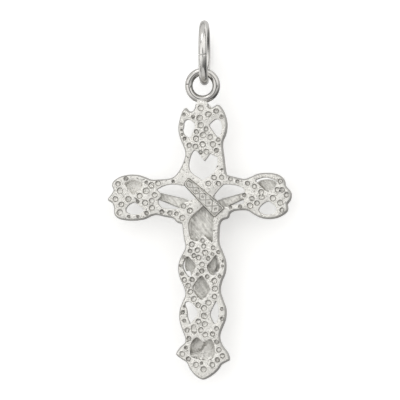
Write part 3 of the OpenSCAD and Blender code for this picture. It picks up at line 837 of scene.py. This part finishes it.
def limb(bm, joints):  # tapered lengths through joints of (place, radius in mm)
    for (a, ra), (b, rb) in zip(joints, joints[1:]):
        length = bmesh.new()
        bmesh.ops.create_cone(length, segments=forms["limbSides"], radius1=ra * mm, radius2=rb * mm,
                              depth=(b - a).length, cap_ends=True)
        turn = (b - a).to_track_quat("Z", "Y").to_matrix().to_4x4()
        stamp(bm, smallMesh(length, "length"), Matrix.Translation((a + b) / 2) @ turn)
    for at, radius in joints:
        egg(bm, at, (radius, radius, radius))


def charted(rows):  # column, row, ahead, radius
    return [(lay(col, row, ahead), radius) for col, row, ahead, radius in rows]


def loft(bm, sections):  # ovals of (column, row, ahead, half width, half depth) joined into one form
    before = first = None
    for col, row, ahead, wide, deep in sections:
        place = Matrix.Translation(lay(col, row, ahead)) @ Matrix.Diagonal((wide * mm, deep * mm, 1, 1))
        verts = bmesh.ops.create_circle(bm, segments=forms["ovalSides"], radius=1, matrix=place)["verts"]
        edges = list({edge for vert in verts for edge in vert.link_edges})
        if before:
            bmesh.ops.bridge_loops(bm, edges=before + edges)
        first, before = first or edges, edges
    bmesh.ops.holes_fill(bm, edges=first + before, sides=0)


figure = {
    "coarse": 0.05, "coarseSmooth": 12, "fine": 0.038, "fineSmooth": 3,
    "backGap": 0.04, "backRough": 0.035,  # gap to the cross, and depth of the marks in the flat back
    "trunk": [
        (205.0, 202.6, 0.42, 0.42, 0.34), (203.4, 206.6, 0.44, 0.92, 0.43), (201.8, 211.8, 0.46, 1.16, 0.54),
        (200.2, 216.5, 0.46, 1.13, 0.60), (199.6, 223.0, 0.40, 1.00, 0.52), (199.3, 230.0, 0.36, 0.93, 0.45),
        (199.5, 236.0, 0.36, 0.97, 0.46), (200.0, 243.0, 0.40, 1.08, 0.54), (200.4, 250.0, 0.44, 1.14, 0.60),
        (200.6, 257.0, 0.46, 1.00, 0.56)],
    "limbs": [
        [(204.0, 206.0, 0.46, 0.36), (205.4, 198.0, 0.64, 0.33)],
        [(189.6, 207.0, 0.42, 0.50), (178.0, 202.2, 0.34, 0.46), (163.0, 197.4, 0.32, 0.36),
         (153.0, 194.4, 0.32, 0.32), (141.5, 190.8, 0.28, 0.225)],
        [(216.4, 206.2, 0.42, 0.50), (227.5, 201.6, 0.34, 0.42), (238.5, 197.4, 0.30, 0.33),
         (247.5, 194.8, 0.30, 0.30), (259.5, 190.8, 0.28, 0.225)],
        [(193.8, 249.0, 0.50, 0.68), (195.2, 270.0, 0.80, 0.57), (197.2, 290.5, 1.00, 0.42)],
        [(207.4, 249.0, 0.50, 0.68), (208.2, 270.0, 0.84, 0.57), (207.0, 289.0, 1.04, 0.42)],
        [(197.2, 291.0, 0.98, 0.40), (200.0, 302.0, 0.74, 0.40), (202.0, 313.0, 0.52, 0.30),
         (203.0, 323.0, 0.36, 0.225)],
        [(207.0, 289.5, 1.02, 0.40), (206.6, 301.0, 0.80, 0.39), (205.6, 312.0, 0.66, 0.30),
         (205.0, 321.0, 0.58, 0.225)],
        [(194.6, 256.0, 0.34, 0.72), (198.0, 276.0, 0.36, 0.62), (199.5, 292.0, 0.36, 0.52),
         (203.6, 318.0, 0.20, 0.30)],
        [(207.0, 256.0, 0.34, 0.72), (206.4, 276.0, 0.36, 0.62), (205.0, 292.0, 0.36, 0.52),
         (203.8, 318.0, 0.20, 0.30)],
    ],
    "swells": [  # column, row, ahead, and half widths in mm: chest, shoulders, knees and calves
        (194.8, 212.8, 0.80, 0.50, 0.22, 0.44), (206.4, 212.6, 0.80, 0.50, 0.22, 0.44),
        (188.0, 206.0, 0.46, 0.60, 0.46, 0.46), (217.6, 205.6, 0.46, 0.56, 0.46, 0.46),
        (197.2, 289.8, 1.20, 0.25, 0.24, 0.30), (207.0, 288.4, 1.24, 0.25, 0.24, 0.30),
        (181.0, 201.0, 0.50, 0.52, 0.26, 0.34), (224.6, 200.8, 0.50, 0.50, 0.26, 0.34)],
    "details": [  # ribs, collar bones, belly line, shins, feet and the thumbs' roots
        [(188.4, 215.4, 0.69, 0.06), (192.6, 218.8, 0.95, 0.06), (197.0, 218.4, 1.00, 0.05)],
        [(188.2, 218.6, 0.65, 0.06), (192.2, 222.0, 0.90, 0.06), (196.0, 221.8, 0.96, 0.05)],
        [(188.4, 221.8, 0.60, 0.06), (191.8, 225.0, 0.81, 0.06), (195.0, 225.2, 0.88, 0.05)],
        [(211.4, 215.0, 0.69, 0.06), (206.6, 218.6, 0.95, 0.06), (202.2, 218.4, 1.00, 0.05)],
        [(210.2, 218.4, 0.65, 0.06), (205.8, 221.8, 0.90, 0.06), (202.4, 221.8, 0.96, 0.05)],
        [(209.0, 221.6, 0.60, 0.06), (205.2, 224.9, 0.81, 0.06), (202.6, 225.2, 0.88, 0.05)],
        [(203.4, 206.4, 0.80, 0.08), (196.0, 205.0, 0.78, 0.08), (188.8, 203.6, 0.78, 0.10)],
        [(205.8, 206.2, 0.80, 0.08), (211.4, 204.6, 0.78, 0.08), (217.0, 203.0, 0.78, 0.10)],
        [(197.6, 295.0, 1.26, 0.10), (201.8, 314.0, 0.76, 0.09)],
        [(207.0, 293.5, 1.30, 0.10), (205.6, 312.0, 0.90, 0.09)],
        [(203.2, 323.0, 0.34, 0.23), (203.8, 331.0, 0.42, 0.25), (203.4, 337.0, 0.34, 0.20)],
        [(204.8, 321.5, 0.62, 0.23), (204.0, 329.5, 0.76, 0.25), (203.2, 335.6, 0.72, 0.20)],
        [(144.0, 190.4, 0.34, 0.19), (137.5, 189.4, 0.34, 0.23)],
        [(257.4, 190.8, 0.34, 0.19), (263.5, 189.4, 0.34, 0.23)],
    ],
    "bellies": [  # small swells of the belly, the palms, and the cast pad behind one hand
        (195.6, 228.6, 0.74, 0.22, 0.09, 0.20), (200.2, 228.6, 0.74, 0.22, 0.09, 0.20),
        (195.6, 233.6, 0.72, 0.22, 0.09, 0.20), (200.4, 233.6, 0.72, 0.22, 0.09, 0.20),
        (133.8, 187.8, 0.20, 0.50, 0.24, 0.36), (267.0, 187.2, 0.08, 0.72, 0.22, 0.44),
        (266.6, 183.3, 0.03, 0.84, 0.12, 0.37)],
    "fillet": [  # low fillet of the casting along one side of the body
        (210.6, 213.0, 0.14, 0.36, 0.16), (210.8, 222.0, 0.13, 0.32, 0.15), (210.6, 232.0, 0.13, 0.34, 0.15),
        (210.6, 243.0, 0.14, 0.36, 0.16)],
    "wrapBack": [  # the part of the wrap that lies against the cross
        (199.8, 242.0, 0.22, 1.18, 0.38), (200.2, 250.0, 0.22, 1.34, 0.40), (200.3, 258.0, 0.22, 1.42, 0.40),
        (200.2, 266.0, 0.22, 1.42, 0.40), (200.2, 271.0, 0.22, 1.30, 0.36)],
    "wrap": [
        (198.6, 238.6, 0.40, 1.00, 0.50), (199.4, 242.0, 0.42, 1.16, 0.62), (200.2, 249.0, 0.50, 1.24, 0.72),
        (200.4, 257.0, 0.60, 1.27, 0.78), (200.4, 264.0, 0.68, 1.28, 0.78), (200.4, 269.4, 0.72, 1.24, 0.74)],
    "folds": [
        [(213.4, 244.6, 0.72, 0.10), (204.0, 242.6, 1.08, 0.12), (194.0, 240.6, 0.98, 0.11),
         (187.4, 241.2, 0.58, 0.10)],
        [(213.6, 246.0, 0.80, 0.09), (205.0, 247.6, 1.22, 0.11), (195.0, 246.8, 1.16, 0.11),
         (186.6, 247.6, 0.72, 0.10)],
        [(213.8, 247.2, 0.84, 0.09), (206.0, 251.6, 1.30, 0.11), (196.0, 253.4, 1.28, 0.11),
         (186.0, 255.2, 0.82, 0.10)],
        [(214.0, 248.2, 0.88, 0.09), (207.4, 255.6, 1.34, 0.11), (198.6, 260.2, 1.36, 0.11),
         (186.4, 263.6, 0.92, 0.11)],
        [(214.2, 249.0, 0.88, 0.09), (209.6, 258.6, 1.32, 0.10), (204.0, 265.2, 1.36, 0.11),
         (195.6, 269.0, 1.26, 0.10)],
        [(185.8, 264.0, 0.62, 0.09), (190.0, 269.0, 1.12, 0.09), (197.0, 271.4, 1.34, 0.10),
         (203.6, 269.6, 1.36, 0.10), (209.6, 270.6, 1.34, 0.10), (215.2, 265.4, 0.72, 0.09)],
        [(214.6, 245.6, 0.80, 0.16), (216.4, 254.0, 0.62, 0.19), (217.2, 263.0, 0.52, 0.20),
         (217.0, 270.6, 0.46, 0.12)],
        [(213.6, 247.0, 0.98, 0.10), (214.6, 256.0, 0.90, 0.11), (215.2, 266.0, 0.76, 0.11),
         (215.0, 271.6, 0.66, 0.08)],
        [(213.2, 243.8, 0.86, 0.16), (215.4, 245.8, 0.90, 0.15)],
    ],
    "locks": [  # hair that falls on the shoulders
        [(211.2, 188.0, 0.42, 0.18), (211.8, 194.0, 0.40, 0.20), (211.4, 199.5, 0.50, 0.20),
         (210.6, 204.6, 0.70, 0.13)],
        [(211.4, 192.0, 0.62, 0.13), (211.6, 198.0, 0.68, 0.14), (211.0, 203.5, 0.82, 0.09)],
        [(200.4, 190.0, 0.42, 0.18), (199.0, 197.0, 0.44, 0.20), (198.2, 203.5, 0.70, 0.12)],
        [(200.8, 193.0, 0.70, 0.12), (199.8, 199.0, 0.74, 0.13), (199.8, 204.4, 0.88, 0.09)],
    ],
    "fingers": [  # of the left hand in the picture: root, middle and tip, as steps from the palm's place
        [(-2.0, -3.2, 0.30, 0.095), (-5.2, -5.0, 0.36, 0.085), (-7.2, -4.6, 0.52, 0.07)],
        [(-3.2, -1.2, 0.30, 0.10), (-6.8, -2.2, 0.38, 0.09), (-8.8, -1.6, 0.56, 0.07)],
        [(-3.4, 1.0, 0.30, 0.10), (-6.8, 0.6, 0.38, 0.085), (-8.6, 1.2, 0.54, 0.07)],
        [(-2.6, 3.0, 0.30, 0.09), (-5.6, 3.2, 0.36, 0.08), (-7.0, 3.8, 0.48, 0.065)],
        [(1.6, -3.0, 0.36, 0.10), (-0.6, -5.8, 0.48, 0.09), (-2.6, -6.8, 0.58, 0.07)],
    ],
    "palms": [(134.6, 188.4, 1), (266.4, 188.2, -1)],
    "nails": [(134.2, 188.4, 0.55), (266.8, 188.2, 0.55), (203.7, 330.4, 1.02)],
    "nail": [(0.12, -0.06), (0.12, 0.02), (0.09, 0.05), (0.0, 0.07)], "nailSides": 20,
    # each foot's middle toe and which toe is the big one, then a toe's radius in mm, the columns from one to the
    # next, the rows by which they fall back, and the shares by which the big one is larger and all are longer
    "toes": [(203.4, 338.6, 0.30, 0), (203.2, 337.2, 0.68, 4)],
    "toeRadius": 0.065, "toeStep": 1.15, "toeFall": 0.25, "bigToe": 1.25, "toeLong": 1.3,
    # finish: heights in mm of the flat back and of the tarnish and painted shade where the figure meets the cross
    "backLevel": (-0.615, -0.580), "crease": (-0.92, -0.60), "creaseDepth": 0.45, "patches": (1500, 3),
    "frontMetal": ((0.80, 0.79, 0.76, 1), (0.93, 0.92, 0.89, 1)),
    "backMetal": ((0.60, 0.59, 0.56, 1), (1.0, 0.99, 0.95, 1)),
    # slanting marks of the back, and the hand painted paler there, a painted light that lifts it out of its shade
    "marks": (1900, 3), "marksTurn": -50, "marksStretch": (2.8, 1, 0.38),
    "litHand": (266.8, 185.0), "litReach": (0.9e-3, 1.3e-3),
    "markSpread": (900, 2600),  # the same marks in the mesh: repeats in a metre along and across them
}


def buildFigure(look):
    bm = bmesh.new()
    loft(bm, figure["trunk"])
    loft(bm, figure["fillet"])
    for rows in figure["limbs"]:
        limb(bm, charted(rows))
    for col, row, ahead, *size in figure["swells"]:
        egg(bm, lay(col, row, ahead), size)
    bmesh.ops.recalc_face_normals(bm, faces=bm.faces)
    coarse = looseObject(bm, "figure_coarse")
    remesh(coarse, figure["coarse"], figure["coarseSmooth"])

    bm = bmesh.new()
    bm.from_mesh(coarse.data)
    drop(coarse)
    for rows in figure["details"] + figure["folds"] + figure["locks"]:
        limb(bm, charted(rows))
    for col, row, ahead, *size in figure["bellies"]:
        egg(bm, lay(col, row, ahead), size)
    loft(bm, figure["wrap"])
    loft(bm, figure["wrapBack"])
    for palmCol, palmRow, side in figure["palms"]:
        for finger in figure["fingers"]:
            limb(bm, charted([(palmCol + side * across, palmRow + down, ahead, radius)
                              for across, down, ahead, radius in finger]))
    for col, row, ahead, big in figure["toes"]:
        for k in range(5):
            size = figure["toeRadius"] * (figure["bigToe"] if k == big else 1)
            at = lay(col + figure["toeStep"] * (k - 2), row - figure["toeFall"] * abs(k - 2), ahead)
            egg(bm, at, (size, size, size * figure["toeLong"]))
    bmesh.ops.recalc_face_normals(bm, faces=bm.faces)
    body = looseObject(bm, "figure_body")
    remesh(body, figure["fine"], figure["fineSmooth"])
    flattenBack(body)
    dress(body, look, "pendant", ["corpus"], sharp=60)

    bm = bmesh.new()
    nail = lathe([(radius * mm, height * mm) for radius, height in figure["nail"]], figure["nailSides"])
    for col, row, ahead in figure["nails"]:
        stamp(bm, nail, Matrix.Translation(lay(col, row, ahead)) @ turnOver)
    finishPiece(bm, "figure_nails", brightSilver, "pendant", ["corpus"])


def mirrored(joints):  # a run of joints, and its twin on the other side of the face
    return [joints, [(-x, *rest) for x, *rest in joints]]


# the head, drawn upright round its own middle in mm: +X to the figure's left, -Y forwards, +Z up
head = {
    "at": (206.0, 190.8, 0.68), "size": (0.76, 0.74, 0.80), "lean": -14, "nod": 18, "turn": -12,
    "voxel": 0.018, "smooth": 4,
    "skull": [
        (0.00, 0.08, 0.26, 0.72, 0.84, 0.76), (0.00, -0.34, -0.12, 0.60, 0.50, 0.82),
        (0.00, -0.40, -0.62, 0.38, 0.38, 0.32), (0.34, -0.56, -0.12, 0.22, 0.20, 0.18),
        (-0.34, -0.56, -0.12, 0.22, 0.20, 0.18), (0.00, -0.62, 0.34, 0.46, 0.24, 0.26)],
    "features": [
        *mirrored([(-0.44, -0.68, 0.13, 0.07), (-0.24, -0.81, 0.17, 0.08), (-0.08, -0.85, 0.12, 0.06)]),
        [(0.00, -0.86, 0.10, 0.06), (0.00, -0.96, -0.10, 0.075), (0.00, -1.03, -0.24, 0.09)],
        [(-0.09, -0.95, -0.26, 0.06), (0.09, -0.95, -0.26, 0.06)],
        *mirrored([(0.02, -0.92, -0.36, 0.05), (0.15, -0.86, -0.41, 0.07), (0.28, -0.72, -0.56, 0.06)]),
        [(-0.13, -0.84, -0.49, 0.04), (0.00, -0.90, -0.47, 0.05), (0.13, -0.84, -0.49, 0.04)],
        [(-0.10, -0.83, -0.55, 0.045), (0.00, -0.88, -0.56, 0.06), (0.10, -0.83, -0.55, 0.045)],
        [(0.00, -0.80, -0.66, 0.10), (0.00, -0.74, -0.90, 0.15), (0.05, -0.66, -1.14, 0.09)],
        [(0.14, -0.72, -0.70, 0.12), (0.16, -0.66, -0.94, 0.12), (0.14, -0.58, -1.12, 0.07)],
        [(-0.14, -0.72, -0.70, 0.12), (-0.16, -0.66, -0.94, 0.12), (-0.10, -0.58, -1.14, 0.07)],
        *mirrored([(0.56, -0.34, -0.20, 0.11), (0.48, -0.48, -0.52, 0.12), (0.28, -0.60, -0.82, 0.13)]),
    ],
    "lids": [(0.27, -0.72, 0.00, 0.17, 0.12, 0.10), (-0.27, -0.72, 0.00, 0.17, 0.12, 0.10)],
    "lashes": mirrored([(0.13, -0.83, -0.05, 0.028), (0.27, -0.85, -0.075, 0.032), (0.41, -0.77, -0.04, 0.028)]),
    # hair: one lock's path from the parting down, at the front and at the back of the head
    "lockFront": [(0.02, -0.70, 0.66, 0.11), (0.28, -0.72, 0.56, 0.13), (0.55, -0.60, 0.34, 0.13),
                  (0.70, -0.47, 0.00, 0.13), (0.70, -0.38, -0.40, 0.13), (0.60, -0.42, -0.78, 0.12),
                  (0.56, -0.50, -1.06, 0.05)],
    "lockBack": [(0.01, 0.46, 0.94, 0.14), (0.26, 0.62, 0.80, 0.17), (0.48, 0.70, 0.46, 0.18),
                 (0.58, 0.62, 0.02, 0.19), (0.56, 0.50, -0.44, 0.18), (0.48, 0.40, -0.86, 0.16),
                 (0.40, 0.32, -1.16, 0.08)],
    # locks on each side, thin and thick ones by turns; how far they wave, in radians for a joint and for a lock
    "locks": 8, "lockSteps": 4, "lockSizes": (0.85, 1.1), "wave": 0.05, "wavePerJoint": 1.9, "wavePerLock": 2.3,
    # plaited band round the hair
    "band": (0.87, 0.93), "bandBack": -0.01, "bandHeight": 0.42, "bandTilt": 10, "bandTwists": 9, "bandSteps": 96,
    "bandStrands": 3, "bandWire": 0.068, "bandSwing": 0.068,
}


def inHead(x, y, z):
    return Vector((x, y, z)) * mm


def flowing(joints, steps):  # the same joints on a smooth path, with steps lengths from each to the next
    path = []
    last = len(joints) - 1
    for i in range(last):
        (a, ra), (b, rb) = joints[i], joints[i + 1]
        leave = a + (b - joints[max(i - 1, 0)][0]) / 6
        reach = b - (joints[min(i + 2, last)][0] - a) / 6
        curve = interpolate_bezier(a, leave, reach, b, steps + 1)
        path += [(at, ra + (rb - ra) * k / steps) for k, at in enumerate(curve[:-1])]
    return path + [joints[-1]]


def buildHead(look):
    bm = bmesh.new()
    for x, y, z, *size in head["skull"] + head["lids"]:
        egg(bm, inHead(x, y, z), size)
    for rows in head["features"] + head["lashes"]:
        limb(bm, [(inHead(x, y, z), radius) for x, y, z, radius in rows])
    for side in (-1, 1):
        for k in range(head["locks"]):
            share = k / (head["locks"] - 1)
            joints = []
            for n, (a, b) in enumerate(zip(head["lockFront"], head["lockBack"])):
                x, y, z, radius = Vector(a).lerp(Vector(b), share)
                sway = 0  # at the parting
                if n > 1:
                    sway = head["wave"] * math.sin(head["wavePerJoint"] * n + head["wavePerLock"] * k)
                joints.append((inHead(side * (x + sway), y + sway, z), radius * head["lockSizes"][k % 2]))
            limb(bm, flowing(joints, head["lockSteps"]))
    tilt = math.tan(math.radians(head["bandTilt"]))
    for strand in range(head["bandStrands"]):
        joints = []
        for k in range(head["bandSteps"] + 1):
            around = 2 * math.pi * k / head["bandSteps"]
            twist = head["bandTwists"] * around + 2 * math.pi * strand / head["bandStrands"]
            wide, deep = [half + head["bandSwing"] * math.cos(twist) for half in head["band"]]
            ahead = deep * math.cos(around)
            z = head["bandHeight"] + head["bandSwing"] * math.sin(twist) - tilt * ahead
            joints.append((inHead(wide * math.sin(around), head["bandBack"] - ahead, z), head["bandWire"]))
        limb(bm, joints)
    place = Matrix.Translation(lay(*head["at"]))
    for angle, axis in (("lean", "Y"), ("nod", "X"), ("turn", "Z")):
        place = place @ Matrix.Rotation(math.radians(head[angle]), 4, axis)
    bmesh.ops.transform(bm, matrix=place @ Matrix.Diagonal((*head["size"], 1)), verts=bm.verts)
    thing = looseObject(bm, "figure_head")
    remesh(thing, head["voxel"], head["smooth"])
    flattenBack(thing)
    dress(thing, look, "pendant", ["corpus"], sharp=60)


def flattenBack(thing):  # the casting's back lies flat, with shallow rough marks
    level = -(faceHeight + figure["backGap"]) * mm
    alongMarks, acrossMarks = figure["markSpread"]
    for vert in thing.data.vertices:
        x, y, z = vert.co
        if y > level:
            marks = noise.noise(Vector(((z + x) * alongMarks, 0, (z - x) * acrossMarks)))
            vert.co.y = level - (0.5 + 0.5 * marks) * figure["backRough"] * mm
    thing.data.update()


def makeFigureSilver():
    look = Look("figure silver", {"Metallic": 1.0})
    rear = look.rise(*figure["backLevel"])
    # tarnish and painted shade: darker where the figure meets the cross, but not on its flat back
    crease = figure["creaseDepth"] * look.rise(*figure["crease"]) * (1.0 - rear)
    patches = look.noise(*figure["patches"])
    mottle = look.noise(*finish["mottle"])
    marks = look.noise(*figure["marks"], stretch={"Rotation": (0, math.radians(figure["marksTurn"]), 0),
                                                  "Scale": figure["marksStretch"]})
    # painted light: the hand behind one arm is painted paler, lifting it out of its shade
    hand = 1.0 - look.away(spot(*figure["litHand"])).between(*figure["litReach"])
    streaks = (0.7 * marks.between(0.35, 0.65) + 1.1 * (mottle - 0.5) + 0.2 + 0.5 * hand).clamped()
    metal = look.mix(rear, look.mix(patches, *figure["frontMetal"]), look.mix(streaks, *figure["backMetal"]))
    look.feed("Base Color", look.mix(crease, metal, finish["stainShade"]))
    look.feed("Roughness", 0.24 + 0.12 * patches + 0.12 * rear)
    look.bump(rear * (marks + 0.6 * mottle) + 0.4 * look.noise(6000, 2), 0.08 * mm, 0.8)
    return look


figureSilver = makeFigureSilver()
buildFigure(figureSilver)
buildHead(figureSilver)
print("figure done")

# floor, light and camera
studio = {
    # camera: degrees round to the picture's right and up, distance in metres, the frame's width in grid steps
    "yaw": 3.4, "lift": -1.0, "distance": 0.6, "frameWidth": 400, "middle": (200.0, 200.0, 0.5), "sensor": 36,
    "clip": 0.01,
    "floorHeight": -0.13, "floorRadius": 0.09, "floorSides": 96, "floorGrey": 0.85, "floorRough": 0.8,
    "keyPlace": (0.10, 0.16, 0.26), "keyAim": (0, 0, -0.015), "keySize": 0.16, "keyPower": 0.10,
    # light tent: its bright side, the span over which it darkens away from there, darkest and brightest
    "brightSide": (0.38, 0.0, 0.92), "darkens": (-0.95, 0.12), "tent": (0.13, 1.24),
    "tentColour": (1.0, 0.993, 0.975, 1), "crown": (0.50, 0.95), "crownDim": 0.38,
    # a thin dark line across the tent's upper part, and the dimmer half behind the object
    "seamFrom": (0.66, 0.70), "seamTo": (0.74, 0.78), "seamDim": 0.55, "behind": (-0.30, -0.75), "behindDim": 0.44,
    # the gap between the tent and the paper, a dark line except at the bright side: squared cosines of its half
    # width, where it ends, and its depth
    "horizon": (0.016, 0.05), "horizonEnd": (0.5, 0.8), "horizonDim": 0.75,
    # the dark of the lens in the middle of the tent: cosines of its outer and inner edge, and its depth
    "lensEdge": (0.935, 0.978), "lensDark": 0.72,
    # card behind the pendant, in metres: half width, top and foot, the heights between which it bows, and its Y
    # at the ring and at the cross
    "cardHalf": 0.045, "cardTop": 0.03, "cardFoot": -0.05, "cardBend": (0.0, -0.0150), "cardSteps": 16,
    "cardBehind": (-0.0029, -0.0021), "cardGrey": 0.90, "cardGlow": 0.355,
}


class Sky(Look):
    def __init__(self, world):
        self.tree = world.node_tree
        self.tree.nodes.clear()
        self.place = Wire(self, self.add("ShaderNodeTexCoord").outputs["Generated"])

    def towards(self, direction):
        node = self.add("ShaderNodeVectorMath", {"operation": "DOT_PRODUCT"}, {0: self.place, 1: direction})
        return Wire(self, node.outputs["Value"])


def buildSky(world, toCamera):
    world.use_nodes = True
    sky = Sky(world)
    dark, bright = studio["tent"]
    side = sky.towards(studio["brightSide"])
    crown = 1.0 - studio["crownDim"] * side.between(*studio["crown"])
    seam = 1.0 - studio["seamDim"] * side.between(*studio["seamFrom"]) * (1.0 - side.between(*studio["seamTo"]))
    ahead = sky.towards(toCamera)
    lens = 1.0 - studio["lensDark"] * ahead.between(*studio["lensEdge"])
    behind = 1.0 - studio["behindDim"] * ahead.between(*studio["behind"])
    level = (1.0 - (ahead * ahead).between(*studio["horizon"])) * (1.0 - side.between(*studio["horizonEnd"]))
    horizon = 1.0 - studio["horizonDim"] * level
    tent = (dark + (bright - dark) * side.between(*studio["darkens"])) * crown * seam * behind * horizon
    seen = sky.add("ShaderNodeBackground", None, {"Color": (1, 1, 1, 1)})
    lit = sky.add("ShaderNodeBackground", None, {"Color": studio["tentColour"], "Strength": tent * lens})
    straight = sky.add("ShaderNodeLightPath").outputs["Is Camera Ray"]
    both = sky.add("ShaderNodeMixShader", None,
                   {0: Wire(sky, straight), 1: Wire(sky, lit.outputs[0]), 2: Wire(sky, seen.outputs[0])})
    sky.add("ShaderNodeOutputWorld", None, {"Surface": Wire(sky, both.outputs[0])})


def buildCard():  # a bowed white card close behind, which only the camera sees, and only its lit side
    bm = bmesh.new()
    half, (bendTop, bendFoot), (high, low) = studio["cardHalf"], studio["cardBend"], studio["cardBehind"]
    profile = [(high, studio["cardTop"])]
    for k in range(studio["cardSteps"] + 1):
        share = k / studio["cardSteps"]
        profile.append((high + (low - high) * ease(share, 0, 1), bendTop + (bendFoot - bendTop) * share))
    profile.append((low, studio["cardFoot"]))
    verts = [bm.verts.new((-half, y, z)) for y, z in profile]
    edges = [bm.edges.new(pair) for pair in zip(verts, verts[1:])]
    swept = bmesh.ops.extrude_edge_only(bm, edges=edges)["geom"]
    moved = [item for item in swept if isinstance(item, bmesh.types.BMVert)]
    bmesh.ops.translate(bm, vec=(2 * half, 0, 0), verts=moved)
    for face in bm.faces:
        face.smooth = True
        if face.normal.y < 0:
            face.normal_flip()
    card = looseObject(bm, "card")
    look = Look("white card", {"Base Color": (*[studio["cardGrey"]] * 3, 1), "Roughness": 1.0,
                               "Specular IOR Level": 0.0, "Emission Color": (1, 1, 1, 1),
                               "Emission Strength": studio["cardGlow"]})
    look.feed("Alpha", 1.0 - Wire(look, look.add("ShaderNodeNewGeometry").outputs["Backfacing"]))
    card.data.materials.append(look.material)
    card.visible_diffuse = card.visible_glossy = card.visible_transmission = card.visible_shadow = False


def aimed(direction):  # turns a camera or a lamp to look along a direction
    return direction.to_track_quat("-Z", "Y")


def buildCamera(away):
    camera = bpy.data.objects.new("camera", bpy.data.cameras.new("camera"))
    bpy.context.scene.collection.objects.link(camera)
    camera.location = spot(*studio["middle"]) + away * studio["distance"]
    camera.rotation_mode = "QUATERNION"
    camera.rotation_quaternion = aimed(-away)
    camera.data.sensor_width = studio["sensor"]
    camera.data.lens = studio["sensor"] * studio["distance"] / (studio["frameWidth"] * grid["step"])
    camera.data.clip_start = studio["clip"]
    return camera


def buildFloor():
    bm = bmesh.new()
    bmesh.ops.create_circle(bm, cap_ends=True, segments=studio["floorSides"], radius=studio["floorRadius"],
                            matrix=Matrix.Translation((0, 0, studio["floorHeight"])))
    floor = looseObject(bm, "floor")
    paper = Look("white paper", {"Base Color": (*[studio["floorGrey"]] * 3, 1), "Roughness": studio["floorRough"]})
    floor.data.materials.append(paper.material)


def buildKeyLight():
    lamp = bpy.data.lights.new("key", "AREA")
    lamp.size = studio["keySize"]
    lamp.energy = studio["keyPower"]
    holder = bpy.data.objects.new("key", lamp)
    bpy.context.scene.collection.objects.link(holder)
    holder.location = studio["keyPlace"]
    holder.rotation_mode = "QUATERNION"
    holder.rotation_quaternion = aimed(Vector(studio["keyAim"]) - holder.location)


def buildStudio():
    scene = bpy.context.scene
    scene.view_settings.view_transform = "Standard"
    yaw, lift = math.radians(studio["yaw"]), math.radians(studio["lift"])
    away = Vector((-math.sin(yaw) * math.cos(lift), math.cos(yaw) * math.cos(lift), math.sin(lift)))
    scene.camera = buildCamera(away)
    buildFloor()
    scene.world = bpy.data.worlds.new("studio")
    buildSky(scene.world, tuple(away))
    buildCard()
    buildKeyLight()


buildStudio()
